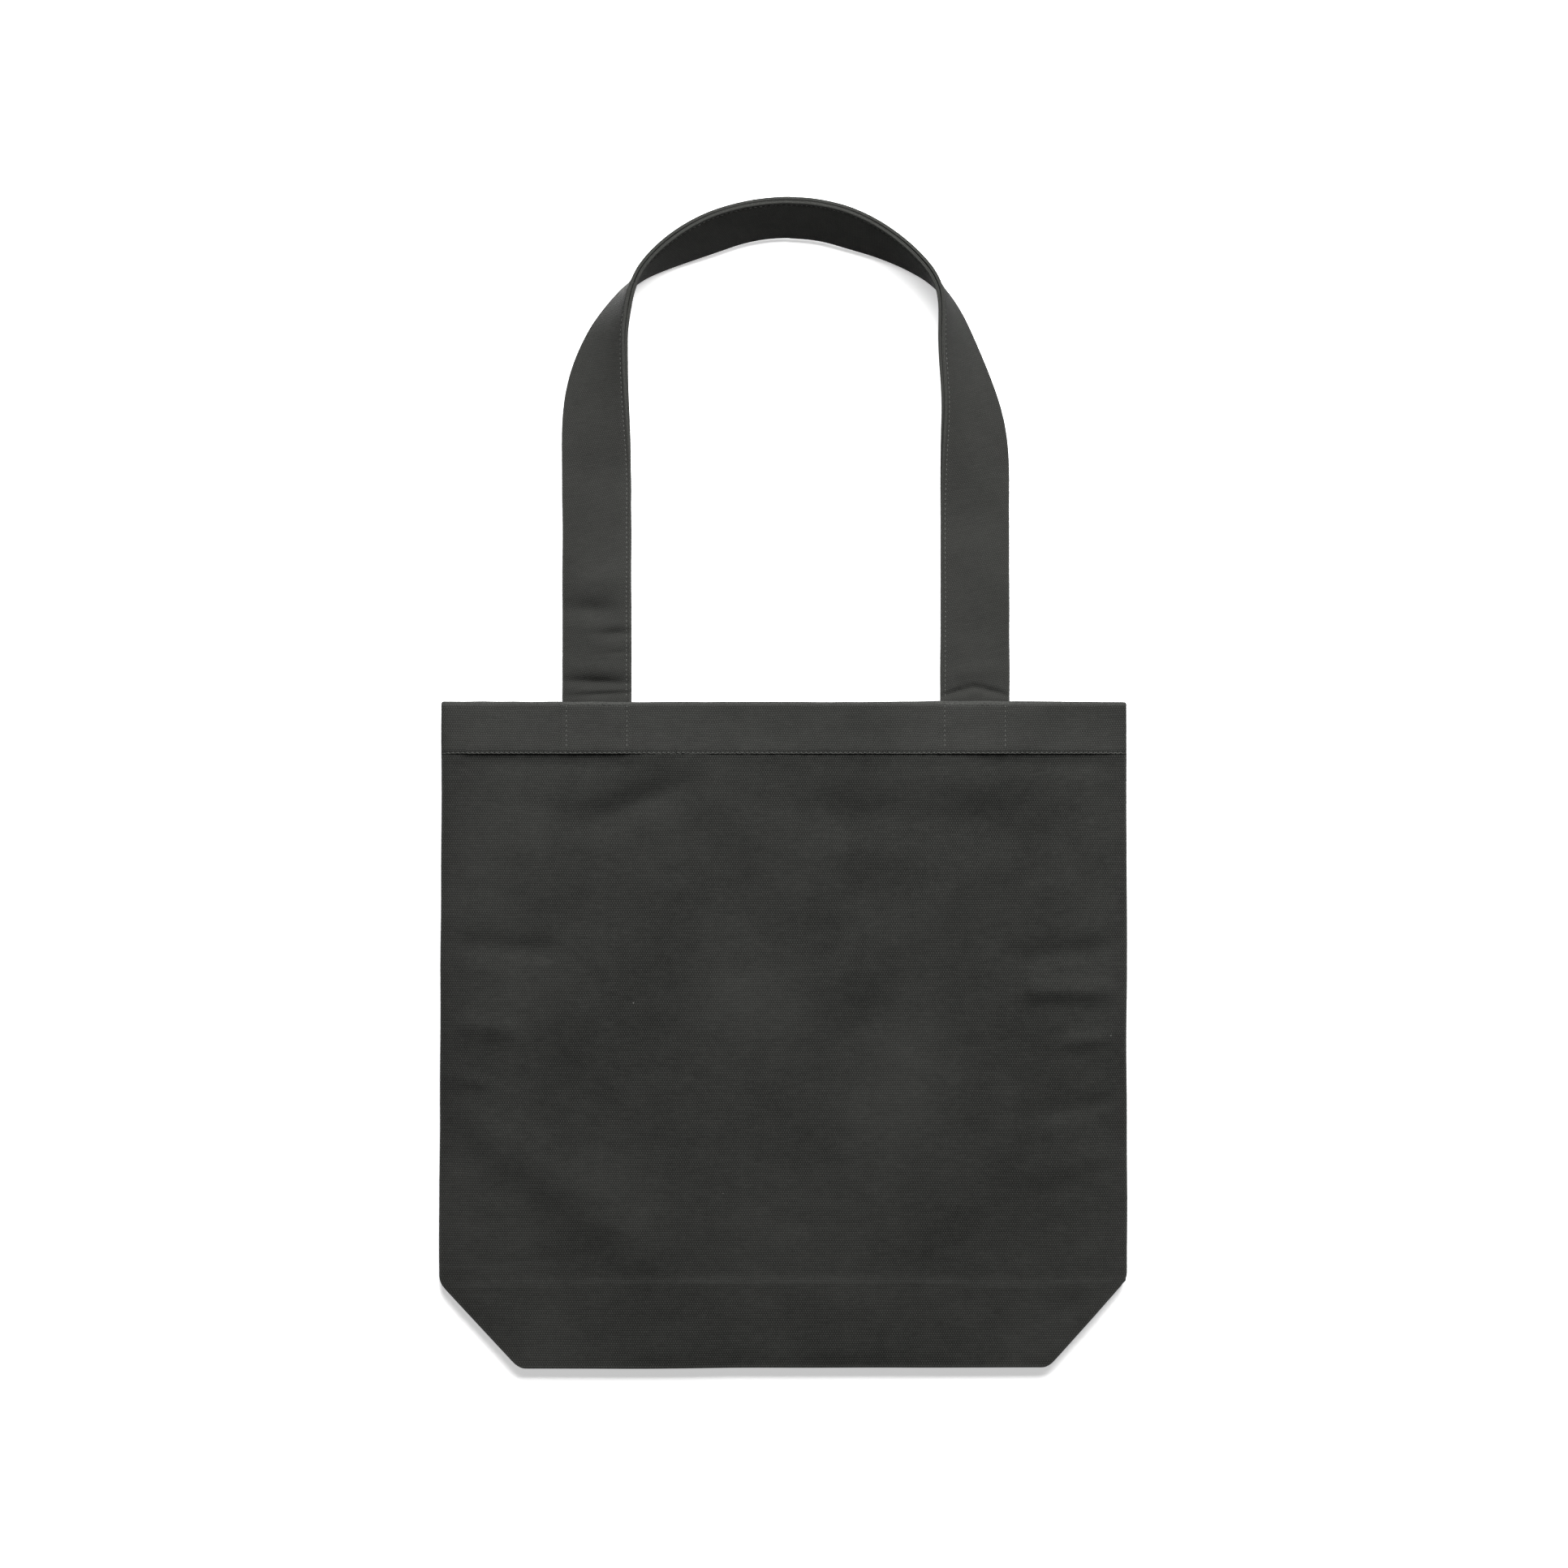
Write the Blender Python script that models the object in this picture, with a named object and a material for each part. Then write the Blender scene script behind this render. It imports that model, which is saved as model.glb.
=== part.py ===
"""Canvas tote bag with two twisted strap handles and a boxed base tucked flat.

Metres, +Z up, +X to the right as the front is seen, and the front faces -Y. The origin is where a hand
or a hook carries the bag: the middle of the underside of the handles' arch. The straps' middle line is
worked out from the bag's top edge, and TOP_EDGE then places it below the origin.
"""

from math import atan2, cos, pi, radians, sin

import bmesh
import bpy
from mathutils import Matrix, Vector
from mathutils.geometry import interpolate_bezier

# Driving sizes of the bag
BAG_WIDTH = 0.420
BAG_HEIGHT = 0.407
BAG_DEPTH = 0.020
BASE_DEPTH = 0.100
CLOTH = 0.0008
HEM_DEPTH = 0.032
HEM_PROUD = 0.0009
CORNER_ROUND = 0.006

# Driving sizes of the straps
STRAP_WIDTH = 0.042
STRAP_THICKNESS = 0.0024
HANDLE_SPACING = 0.231
HANDLE_RISE = 0.2966
LEG_STRAIGHT = 0.140
SHOULDER_INSET = 0.0255
SHOULDER_DROP = 0.0346
SHOULDER_SLOPE = radians(48)
BEND_PULL = 0.57
SHOULDER_PULL = 0.4
TWIST = radians(120)
TWIST_LEAD = 0.010
TWIST_LENGTH = 0.190
CONVERGE_START = 0.010
CONVERGE_END = 0.200

# Seams, thread and clearances
SEAM_WIDTH = 0.010
SEAM_THICKNESS = 0.0016
CORNER_SEAM_WIDTH = 0.008
CORNER_SEAM_THICKNESS = 0.0012
CORNER_SEAM_START = 0.014
THREAD_RADIUS = 0.0003
HEM_STITCH_INSET = 0.0015
ANCHOR_STITCH_INSET = 0.0025
STRAP_STITCH_INSET = 0.0028
STRAP_STITCH_START = 0.006
GAP = 0.0003
NEST_GAP = 0.0009
STRAP_STITCH_GAP = 0.0006
FOLD_LIFT = 0.0015

# Sizes that follow from the ones above
FRONT, BACK = -1, 1
LEFT, RIGHT = -1, 1
CHAMFER = BASE_DEPTH / 2
PANEL_OUTER = BAG_DEPTH / 2
PANEL_INNER = PANEL_OUTER - CLOTH
HEM_OUTER = PANEL_OUTER + HEM_PROUD
INSIDE_REACH = PANEL_INNER - GAP
STRAP_PLANE = INSIDE_REACH - STRAP_THICKNESS / 2
NEST_OFFSET = (STRAP_THICKNESS + NEST_GAP) / 2
TOP_EDGE = -(HANDLE_RISE + STRAP_WIDTH / 2 * cos(TWIST) - NEST_OFFSET * sin(TWIST - pi / 2))
BOTTOM_EDGE = TOP_EDGE - BAG_HEIGHT
BASE_HALF = BAG_WIDTH / 2 - CHAMFER
HINGE_PLANE = (HEM_OUTER + PANEL_INNER) / 2
STEPS_STRAIGHT, STEPS_BEND, STEPS_ARCH, STEPS_ACROSS = 6, 20, 20, 4

CANVAS = (0.033, 0.034, 0.032)
CANVAS_INSIDE = (0.026, 0.027, 0.025)
WEBBING = (0.036, 0.037, 0.035)
THREAD = (0.075, 0.075, 0.068)


def clear_scene():
    for obj in list(bpy.data.objects):
        bpy.data.objects.remove(obj, do_unlink=True)


def cloth_material(name, colour, roughness):
    material = bpy.data.materials.new(name)
    material.use_nodes = True
    shader = material.node_tree.nodes["Principled BSDF"]
    shader.inputs["Base Color"].default_value = (*colour, 1.0)
    shader.inputs["Roughness"].default_value = roughness
    shader.inputs["Metallic"].default_value = 0.0
    return material


def object_from_bmesh(name, shape, colour, roughness=0.9):
    """A named object with its own material, its faces turned outward."""
    bmesh.ops.recalc_face_normals(shape, faces=shape.faces)
    mesh = bpy.data.meshes.new(name)
    shape.to_mesh(mesh)
    shape.free()
    mesh.materials.append(cloth_material(name + "_cloth", colour, roughness))
    obj = bpy.data.objects.new(name, mesh)
    bpy.context.scene.collection.objects.link(obj)
    return obj


def extruded(outline, along, rounded=(), radius=0.0):
    """A solid whose outline is a closed loop of points, pushed out by the vector along."""
    shape = bmesh.new()
    points = [shape.verts.new(point) for point in outline]
    shape.faces.new(points)
    if rounded:
        corners = [points[index] for index in rounded]
        bmesh.ops.bevel(shape, geom=corners, offset=radius, segments=3, profile=0.5, affect="VERTICES")
    pushed = bmesh.ops.extrude_face_region(shape, geom=list(shape.faces))
    moved = [item for item in pushed["geom"] if isinstance(item, bmesh.types.BMVert)]
    bmesh.ops.translate(shape, verts=moved, vec=along)
    return shape


def block(low, high):
    """A box between two opposite corners."""
    outline = [
        (low[0], low[1], low[2]),
        (high[0], low[1], low[2]),
        (high[0], high[1], low[2]),
        (low[0], high[1], low[2]),
    ]
    return extruded(outline, Vector((0, 0, high[2] - low[2])))


def ordered(first, second):
    return (first, second) if first < second else (second, first)


def soften_edges(obj, width):
    bevel = obj.modifiers.new("folded_edges", "BEVEL")
    bevel.width = width
    bevel.segments = 2
    return obj


def thread_run(name, points):
    """One run of sewing thread through the given points, as a closed tube."""
    curve = bpy.data.curves.new(name, "CURVE")
    curve.dimensions = "3D"
    curve.bevel_depth = THREAD_RADIUS
    curve.bevel_resolution = 1
    curve.use_fill_caps = True
    spline = curve.splines.new("POLY")
    spline.points.add(len(points) - 1)
    for point, place in zip(spline.points, points):
        point.co = (*place, 1.0)
    curve.materials.append(cloth_material(name + "_thread", THREAD, 0.7))
    obj = bpy.data.objects.new(name, curve)
    bpy.context.scene.collection.objects.link(obj)
    return obj


def hinge(name, place):
    """An empty on a joint's axis. The pieces that move with it are its children."""
    empty = bpy.data.objects.new(name, None)
    empty.location = place
    bpy.context.scene.collection.objects.link(empty)
    return empty


def hang(obj, empty):
    """Gives obj the hinge as its parent and its origin, and leaves it where it is."""
    obj.data.transform(Matrix.Translation(-Vector(empty.location)))
    obj.parent = empty
    return obj


def panel(name, side):
    """One face of the bag below its hem, with the corners cut off where the boxed base tucks in."""
    half, y = BAG_WIDTH / 2, side * PANEL_INNER
    top = TOP_EDGE - HEM_DEPTH - GAP
    outline = [
        (-half, y, top),
        (half, y, top),
        (half, y, BOTTOM_EDGE + CHAMFER),
        (BASE_HALF, y, BOTTOM_EDGE),
        (-BASE_HALF, y, BOTTOM_EDGE),
        (-half, y, BOTTOM_EDGE + CHAMFER),
    ]
    shape = extruded(outline, Vector((0, side * CLOTH, 0)), (2, 3, 4, 5), CORNER_ROUND)
    return object_from_bmesh(name, shape, CANVAS)


def hem(name, side):
    """The top edge, turned in and sewn down, which stands a little proud of the panel."""
    low_y, high_y = ordered(side * PANEL_INNER, side * HEM_OUTER)
    shape = block((-BAG_WIDTH / 2, low_y, TOP_EDGE - HEM_DEPTH), (BAG_WIDTH / 2, high_y, TOP_EDGE))
    return soften_edges(object_from_bmesh(name, shape, CANVAS), HEM_PROUD / 2)


def base_panel():
    """The rectangular base, folded along its middle and tucked up between the panels."""
    slope = atan2(INSIDE_REACH, CHAMFER)
    foot_inner = INSIDE_REACH - CLOTH / cos(slope)
    ridge_inner = CHAMFER - CLOTH / sin(slope)
    profile = [
        (-INSIDE_REACH, 0),
        (0, CHAMFER),
        (INSIDE_REACH, 0),
        (foot_inner, 0),
        (0, ridge_inner),
        (-foot_inner, 0),
    ]
    outline = [(-BASE_HALF, y, BOTTOM_EDGE + z) for y, z in profile]
    shape = extruded(outline, Vector((2 * BASE_HALF, 0, 0)))
    return object_from_bmesh("base_panel", shape, CANVAS_INSIDE)


def corner_gusset(name, hand):
    """The side's lower corner, folded in behind both panels: two triangles joined along the top."""
    start, end = hand * (BASE_HALF + GAP), hand * (BAG_WIDTH / 2 - GAP)
    ridge = BOTTOM_EDGE + CHAMFER
    outline = [
        (start, -INSIDE_REACH, BOTTOM_EDGE + GAP),
        (end, -INSIDE_REACH, ridge),
        (start, -INSIDE_REACH, ridge),
    ]
    obj = object_from_bmesh(name, extruded(outline, Vector((0, 2 * INSIDE_REACH, 0))), CANVAS)
    between = INSIDE_REACH - CLOTH
    low_x, high_x = ordered(start - hand * CLOTH, end + hand * CLOTH)
    cut = block((low_x, -between, BOTTOM_EDGE - CLOTH), (high_x, between, ridge - CLOTH))
    cutter = object_from_bmesh(name + "_space", cut, CANVAS)
    cutter.hide_render = True
    cutter.display_type = "WIRE"
    boolean = obj.modifiers.new("folded_space", "BOOLEAN")
    boolean.operation = "DIFFERENCE"
    boolean.solver = "EXACT"
    boolean.object = cutter
    return obj


def side_seam(name, hand):
    """The cloth round the side and, inside the bag, the two sewn edges that stand in from it."""
    outer = hand * BAG_WIDTH / 2
    inner = outer - hand * SEAM_THICKNESS
    tip = inner - hand * SEAM_WIDTH
    half = SEAM_THICKNESS / 2
    low = BOTTOM_EDGE + CHAMFER + GAP
    profile = [
        (outer, -INSIDE_REACH),
        (outer, INSIDE_REACH),
        (inner, INSIDE_REACH),
        (inner, half),
        (tip, half),
        (tip, -half),
        (inner, -half),
        (inner, -INSIDE_REACH),
    ]
    outline = [(x, y, low) for x, y in profile]
    shape = extruded(outline, Vector((0, 0, TOP_EDGE - GAP - low)))
    return object_from_bmesh(name, shape, CANVAS_INSIDE)


def corner_seam(name, hand):
    """The sewn edges of a boxed corner, which lie on the tucked base inside the bag."""
    slope = atan2(INSIDE_REACH, CHAMFER)

    def foot(distance):
        return INSIDE_REACH * (1 - CORNER_SEAM_START / CHAMFER) + distance / cos(slope)

    def ridge(distance):
        return CHAMFER + distance / sin(slope)

    near, far = GAP, GAP + CORNER_SEAM_THICKNESS
    profile = [
        (-foot(far), CORNER_SEAM_START),
        (0, ridge(far)),
        (foot(far), CORNER_SEAM_START),
        (foot(near), CORNER_SEAM_START),
        (0, ridge(near)),
        (-foot(near), CORNER_SEAM_START),
    ]
    outline = [(hand * BASE_HALF, y, BOTTOM_EDGE + z) for y, z in profile]
    shape = extruded(outline, Vector((-hand * CORNER_SEAM_WIDTH, 0, 0)))
    return object_from_bmesh(name, shape, CANVAS_INSIDE)


def smooth_step(value):
    value = min(max(value, 0.0), 1.0)
    return value * value * (3 - 2 * value)


def half_path():
    """The strap's middle line from the left foot to the top of the arch, above the top edge."""
    foot_x = -HANDLE_SPACING / 2
    foot = Vector((foot_x, 0, 0))
    bend = Vector((foot_x, 0, LEG_STRAIGHT))
    shoulder = Vector((foot_x + SHOULDER_INSET, 0, HANDLE_RISE - SHOULDER_DROP))
    top = Vector((0, 0, HANDLE_RISE))
    lean = Vector((cos(SHOULDER_SLOPE), 0, sin(SHOULDER_SLOPE)))
    leave_bend = bend + Vector((0, 0, (shoulder.z - bend.z) * BEND_PULL))
    reach_shoulder = shoulder - lean * SHOULDER_INSET
    leave_shoulder = shoulder + lean * SHOULDER_DROP * SHOULDER_PULL
    reach_top = Vector((shoulder.x / 2, 0, HANDLE_RISE))
    straight = [foot.lerp(bend, step / STEPS_STRAIGHT) for step in range(STEPS_STRAIGHT)]
    up = interpolate_bezier(bend, leave_bend, reach_shoulder, shoulder, STEPS_BEND + 1)
    over = interpolate_bezier(shoulder, leave_shoulder, reach_top, top, STEPS_ARCH + 1)
    return straight + up[:-1] + over


def strap_stations():
    """Middle, width direction, face normal and spread at each station, from foot to foot.

    The strap faces front on its legs, turns edge-on at the shoulders and lies over on the arch. The
    spread is how far the front and rear handles stand to either side of the middle line.
    """
    path = half_path()
    half = []
    length = -LEG_STRAIGHT
    for index, place in enumerate(path):
        if index:
            length += (place - path[index - 1]).length
        before, after = path[max(index - 1, 0)], path[min(index + 1, len(path) - 1)]
        along = (after - before).normalized()
        if index == len(path) - 1:
            along = Vector((1, 0, 0))
        inward = Vector((along.z, 0, -along.x))
        angle = TWIST * smooth_step((length + TWIST_LEAD) / TWIST_LENGTH)
        width = inward * cos(angle) + Vector((0, FRONT, 0)) * sin(angle)
        normal = along.cross(width)
        closing = smooth_step((place.z - CONVERGE_START) / (CONVERGE_END - CONVERGE_START))
        spread = STRAP_PLANE + (NEST_OFFSET - STRAP_PLANE) * closing
        half.append((place + Vector((0, 0, TOP_EDGE)), width, normal, spread))
    flip = Matrix.Scale(-1, 3, (1, 0, 0))
    mirrored = [(flip @ place, flip @ width, flip @ normal, spread) for place, width, normal, spread in half]
    return half + mirrored[-2::-1]


def handle(name, side, stations):
    """One strap, from just above the hem over the arch and down again."""
    shape = bmesh.new()
    rings = []
    for index, (place, width, normal, spread) in enumerate(stations):
        middle = place + normal * spread * side
        if index in (0, len(stations) - 1):
            middle = middle + Vector((0, 0, GAP))
        through = normal * STRAP_THICKNESS / 2
        across = [width * STRAP_WIDTH * (step / STEPS_ACROSS - 0.5) for step in range(STEPS_ACROSS + 1)]
        near = [middle + reach - through for reach in across]
        far = [middle + reach + through for reach in reversed(across)]
        rings.append([shape.verts.new(corner) for corner in near + far])
    for ring, following in zip(rings, rings[1:]):
        for corner in range(len(ring)):
            after = (corner + 1) % len(ring)
            shape.faces.new((ring[corner], ring[after], following[after], following[corner]))
    shape.faces.new(rings[0])
    shape.faces.new(rings[-1])
    return object_from_bmesh(name, shape, WEBBING)


def strap_end(name, side, hand):
    """The end of a strap, sewn flat on the inside of the hem."""
    middle = hand * HANDLE_SPACING / 2
    low_y, high_y = ordered(side * INSIDE_REACH, side * (INSIDE_REACH - STRAP_THICKNESS))
    low = (middle - STRAP_WIDTH / 2, low_y, TOP_EDGE - HEM_DEPTH)
    high = (middle + STRAP_WIDTH / 2, high_y, TOP_EDGE)
    return object_from_bmesh(name, block(low, high), WEBBING)


def hem_stitching(name, side):
    y = side * (HEM_OUTER + GAP + THREAD_RADIUS)
    z = TOP_EDGE - HEM_DEPTH + HEM_STITCH_INSET
    reach = BAG_WIDTH / 2 - HEM_STITCH_INSET
    return thread_run(name, [(-reach, y, z), (reach, y, z)])


def anchor_stitching(name, side, hand):
    """The row that holds a strap end: up one edge, across under the hem's top edge, and down."""
    middle = hand * HANDLE_SPACING / 2
    reach = STRAP_WIDTH / 2 - ANCHOR_STITCH_INSET
    y = side * (HEM_OUTER + GAP + THREAD_RADIUS)
    low = TOP_EDGE - HEM_DEPTH + HEM_STITCH_INSET + 2 * THREAD_RADIUS + GAP
    high = TOP_EDGE - ANCHOR_STITCH_INSET
    left, right = middle - reach, middle + reach
    return thread_run(name, [(left, y, low), (left, y, high), (right, y, high), (right, y, low)])


def strap_stitching(name, side, stations):
    """The topstitch that closes the folded strap, along its inner edge on the outer face."""
    points = []
    for place, width, normal, spread in stations:
        if place.z < TOP_EDGE + STRAP_STITCH_START:
            continue
        off_face = spread + STRAP_THICKNESS / 2 + STRAP_STITCH_GAP + THREAD_RADIUS
        across = width * (STRAP_WIDTH / 2 - STRAP_STITCH_INSET)
        points.append(place + normal * off_face * side + across)
    return thread_run(name, points)


def build():
    clear_scene()
    stations = strap_stations()
    mouth = hinge("mouth_hinge", (0, FRONT * (PANEL_INNER + CLOTH / 2), BOTTOM_EDGE))
    for word, side in (("front", FRONT), ("rear", BACK)):
        on_panel = [
            panel("front_panel" if side == FRONT else "back_panel", side),
            hem("front_hem" if side == FRONT else "back_hem", side),
            hem_stitching("front_hem_stitching" if side == FRONT else "back_hem_stitching", side),
        ]
        for edge, hand in (("left", LEFT), ("right", RIGHT)):
            on_panel.append(strap_end(f"{word}_handle_{edge}_end", side, hand))
            on_panel.append(anchor_stitching(f"{word}_handle_{edge}_anchor_stitching", side, hand))
        handle_hinge = hinge(f"{word}_handle_hinge", (0, side * HINGE_PLANE, TOP_EDGE + FOLD_LIFT))
        hang(handle(f"{word}_handle", side, stations), handle_hinge)
        hang(strap_stitching(f"{word}_handle_stitching", side, stations), handle_hinge)
        if side == FRONT:
            for obj in on_panel:
                hang(obj, mouth)
            handle_hinge.location -= mouth.location
            handle_hinge.parent = mouth
    base_panel()
    for edge, hand in (("left", LEFT), ("right", RIGHT)):
        corner_gusset(f"{edge}_corner_gusset", hand)
        side_seam(f"{edge}_side_seam", hand)
        corner_seam(f"{edge}_corner_seam", hand)


build()
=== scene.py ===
from collections import namedtuple
from itertools import accumulate
from math import ceil, cos, dist, exp, pi, radians, sin, sqrt

import bmesh
import bpy
from mathutils import Matrix, Vector, noise
from mathutils.geometry import interpolate_bezier


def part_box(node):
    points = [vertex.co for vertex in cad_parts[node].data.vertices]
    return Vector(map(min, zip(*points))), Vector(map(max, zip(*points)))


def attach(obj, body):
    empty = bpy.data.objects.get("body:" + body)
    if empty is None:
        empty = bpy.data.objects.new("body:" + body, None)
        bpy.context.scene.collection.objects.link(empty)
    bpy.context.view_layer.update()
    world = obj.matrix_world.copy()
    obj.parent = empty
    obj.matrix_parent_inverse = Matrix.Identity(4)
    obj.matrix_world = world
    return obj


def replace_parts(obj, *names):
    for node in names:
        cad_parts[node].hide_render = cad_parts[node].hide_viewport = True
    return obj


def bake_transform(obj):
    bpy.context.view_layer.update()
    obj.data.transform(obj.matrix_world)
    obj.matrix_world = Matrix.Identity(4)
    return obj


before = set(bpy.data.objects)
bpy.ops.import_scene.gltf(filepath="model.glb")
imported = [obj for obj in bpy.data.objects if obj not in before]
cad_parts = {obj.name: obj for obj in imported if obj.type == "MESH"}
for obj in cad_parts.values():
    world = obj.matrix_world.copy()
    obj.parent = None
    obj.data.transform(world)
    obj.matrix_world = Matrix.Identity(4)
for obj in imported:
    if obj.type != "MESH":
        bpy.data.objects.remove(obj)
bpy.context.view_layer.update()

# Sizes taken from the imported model
FRONT, BACK = -1, 1
LEFT, RIGHT = -1, 1
HAND_WORDS = {LEFT: "left", RIGHT: "right"}
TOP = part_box("front_hem")[1].z
HEM_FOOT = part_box("front_hem")[0].z
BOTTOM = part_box("front_panel")[0].z
HALF_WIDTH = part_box("front_hem")[1].x
BASE_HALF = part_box("base_panel")[1].x
HEM_DEPTH = TOP - HEM_FOOT
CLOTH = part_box("back_panel")[1].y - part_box("back_panel")[0].y
HEM_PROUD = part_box("back_hem")[1].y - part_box("back_panel")[1].y
STRAP_END_LOW, STRAP_END_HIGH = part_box("rear_handle_right_end")
STRAP_WIDTH = STRAP_END_HIGH.x - STRAP_END_LOW.x
STRAP_THICKNESS = STRAP_END_HIGH.y - STRAP_END_LOW.y
STRAP_PLANE = (STRAP_END_HIGH.y + STRAP_END_LOW.y) / 2
STRAP_MIDDLE = (STRAP_END_HIGH.x + STRAP_END_LOW.x) / 2

# The straps' line over the arch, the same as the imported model's
HANDLE_RISE = 0.2966
LEG_STRAIGHT = 0.140
SHOULDER_INSET = 0.0255
SHOULDER_DROP = 0.0346
SHOULDER_SLOPE = radians(48)
BEND_PULL = 0.57
SHOULDER_PULL = 0.4
TWIST_LENGTH = 0.190
CONVERGE_START = 0.010
CONVERGE_END = 0.200

# Where the straps leave that even line, by a little
TWIST = radians(117)
NEST_OFFSET = 0.00128
STRAP_SHIFT = 0.0011
STRAP_EDGE_DRIFT = 0.0003
STRAP_RIPPLE = 0.0006
CREASE_STRENGTH = 2.3
CREASE_SPREAD = 1.25

# Stations along the straps: their spacing up the straight legs, and how many follow to the arch's top
STRAP_STEP = 0.0009
BEND_POINTS = 91
ARCH_POINTS = 81

# How the cloth hangs
TOP_STAND = 0.0104
FOOT_STAND = 0.0054
EDGE_STAND = 0.0012
FULL_BY = 0.4
SAG = 0.0016
CLOSING_POWER = 6
CHAMFER_LEFT = (0.0505, 0.0480)
CHAMFER_RIGHT = (0.0540, 0.0484)
CORNER_SOFT = 0.0036
SIDE_INSET = 0.0003
SIDE_DRIFT = 0.0004
WIDER_FOOT = {LEFT: 0.0014, RIGHT: 0.0003}
FOLD_RADIUS = 0.0010
FOLD_STRENGTH = 4.0
EDGE_WEAR_AND_HIGHLIGHT = 0.0011
BROAD_RIPPLE = 0.0010
SMALL_RIPPLE = 0.00045
FOOT_SLANT = 0.0007
FOOT_WANDER = 0.0004
TUCK_LINE_LIGHTENING = 0.42
TUCK_BOW = 0.0022
TUCK_WANDER = 0.0014
SECOND_LINE_ABOVE = 0.0105
TUCK_RISE = 0.0515
TUCK_STEP = 0.0006
TUCK_RIDGE = 0.00045

# The turned hem
HEM_LAP = 0.0012
HEM_ROLL = 0.0007
HEM_SWELL = 0.0008
HEM_THIN_FOOT = 0.00035
HEM_TOP_LIFT = 0.0003
HEM_CORNER = 0.0016
HEM_STEP = 0.00075
HEM_RELIEF_SHARE = 0.5
STRAP_LIFT = 0.00045
GATHER_HEIGHT = 0.00034
GATHER_PITCH = 0.0093
DRAWN_IN = 0.0006
DRAWN_IN_SIDES = 0.0016
DRAWN_IN_REACH = 0.0060
LEFT_STRAP = 0.085
RIGHT_STRAP = 0.105

# Sewing
STITCH_PITCH = 0.0030
STITCH_LENGTH = 0.0023
STITCH_DIP = 0.00042
STITCH_LIFT = 0.00006
STITCH_LEAN = 0.05
THREAD_RADIUS = 0.00027
THREAD_OUTSIDE = THREAD_RADIUS * 0.6
THREAD_INSIDE = THREAD_RADIUS * 0.5
STITCH_SINK = 0.0003
HEM_STITCH_INSET = 0.0010
ROW_END = 0.0015
ANCHOR_STRETCH = 0.92
TOPSTITCH_STRETCH = 0.95
OVERLOCK_STRETCH = 1.9
ANCHOR_INSET = 0.0025
ANCHOR_TOP_INSET = 0.0015
ANCHOR_GROOVE = 0.00040
ROW_GROOVE = 0.00050
GROOVE_REACH = 0.0009
STRAP_STITCH_INSET = 0.0028
TOPSTITCH_GROOVE = 0.00050
LIP_SWELL = 0.00012
LIP_GAP = 0.00050
EDGE_ROUND = 0.0012
OVERLOCK_PITCH = 0.0026
BINDING_WIDTH = 0.010
BINDING_THICKNESS = 0.0016
BINDING_SWAY = 0.0010
CORNER_BINDING_WIDTH = 0.008
CORNER_BINDING_THICKNESS = 0.0012
RIDGE_LIFT = 0.0022
BINDING_FOOT = 0.016
FOLD_INSET = 0.0012
BINDING_STEPS = 5

Fold = namedtuple("Fold", "start end width height")
Crease = namedtuple("Crease", "hand above tilt width depth middle reach")
Sway = namedtuple("Sway", "foot bow bow_at bow_reach late late_from crown")
Station = namedtuple("Station", "place width normal spread length hand from_top")
Stitch = namedtuple("Stitch", "at along out stretch")
Knot = namedtuple("Knot", "at weave worn", defaults=(0.0,))
Weave = namedtuple("Weave", "warp_pitch weft_pitch relief slant")


def smooth_step(value):
    value = min(max(value, 0.0), 1.0)
    return value * value * (3 - 2 * value)


def blend_between(low, high, share):
    return low + (high - low) * share


def bump_at(distance, width):
    return exp(-((distance / width) ** 2))


def wander(along, scale, seed):
    """A slow, even wandering between -1 and 1 along a line."""
    return noise.noise(Vector((along / scale, seed * 7.31, 0.5)))


def lengths_along(profile):
    """How far each point of a profile lies along it, from its first point."""
    return list(accumulate(map(dist, profile, profile[1:]), initial=0.0))


def hand_of(x):
    return RIGHT if x > 0 else LEFT


# Materials -------------------------------------------------

# The weave: the yarns' spacing in metres, their heights as shares, and the tones painted from those heights:
# a painted highlight on the raised yarns and painted shade between them, besides the slubs' own tone
BODY_WEAVE = Weave(warp_pitch=0.00074, weft_pitch=0.00140, relief=0.00032, slant=0.0)
STRAP_WEAVE = Weave(warp_pitch=0.00068, weft_pitch=0.00112, relief=0.00026, slant=radians(10))
WARP_DRIFT = 0.0009
WEFT_DRIFT = 0.0012
YARN_BOW = 0.45
YARN_ROUNDNESS = 0.6
UNDER_HEIGHT = 0.38
WEFT_HEIGHT = 0.72
FIBRE_HEIGHT = 0.22
WARP_SLUB_SHARE = 0.35
MEAN_DOT = 0.42
MEAN_TONE = 0.36
DOT_PAINTED_HIGHLIGHT = 1.45
RIB_PAINTED_LIGHT = 0.05
SLUB_TONE = 0.45
WEAVE_STRENGTH = 0.9

# Wear with a painted highlight along folded edges, and lint
YARN_SHARE = 0.78
PATCH_SHARE = 0.30
SMALL_PATCH_SHARE = 0.25
RUB_AND_HIGHLIGHT_SHARE = 0.7
UNRUBBED_ROUGHNESS = 0.96
RUBBED_ROUGHNESS = 0.86
LINT = (0.20, 0.20, 0.19)
LINT_SCALE = 55.0
LINT_RARITY = 0.93
LINT_SHARE = 0.5

# The sewing thread's plies
PLY_AROUND = 2200.0
PLY_ALONG = 5200.0
PLY_RELIEF = 0.00008


def join(tree, value, socket):
    if isinstance(value, bpy.types.NodeSocket):
        tree.links.new(value, socket)
    else:
        socket.default_value = value


def sum_node(tree, operation, *values):
    node = tree.nodes.new("ShaderNodeMath")
    node.operation = operation
    for socket, value in zip(node.inputs, values):
        join(tree, value, socket)
    return node.outputs[0]


def times(tree, first, second):
    return sum_node(tree, "MULTIPLY", first, second)


def plus(tree, first, second):
    return sum_node(tree, "ADD", first, second)


def less(tree, first, second):
    return sum_node(tree, "SUBTRACT", first, second)


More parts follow.
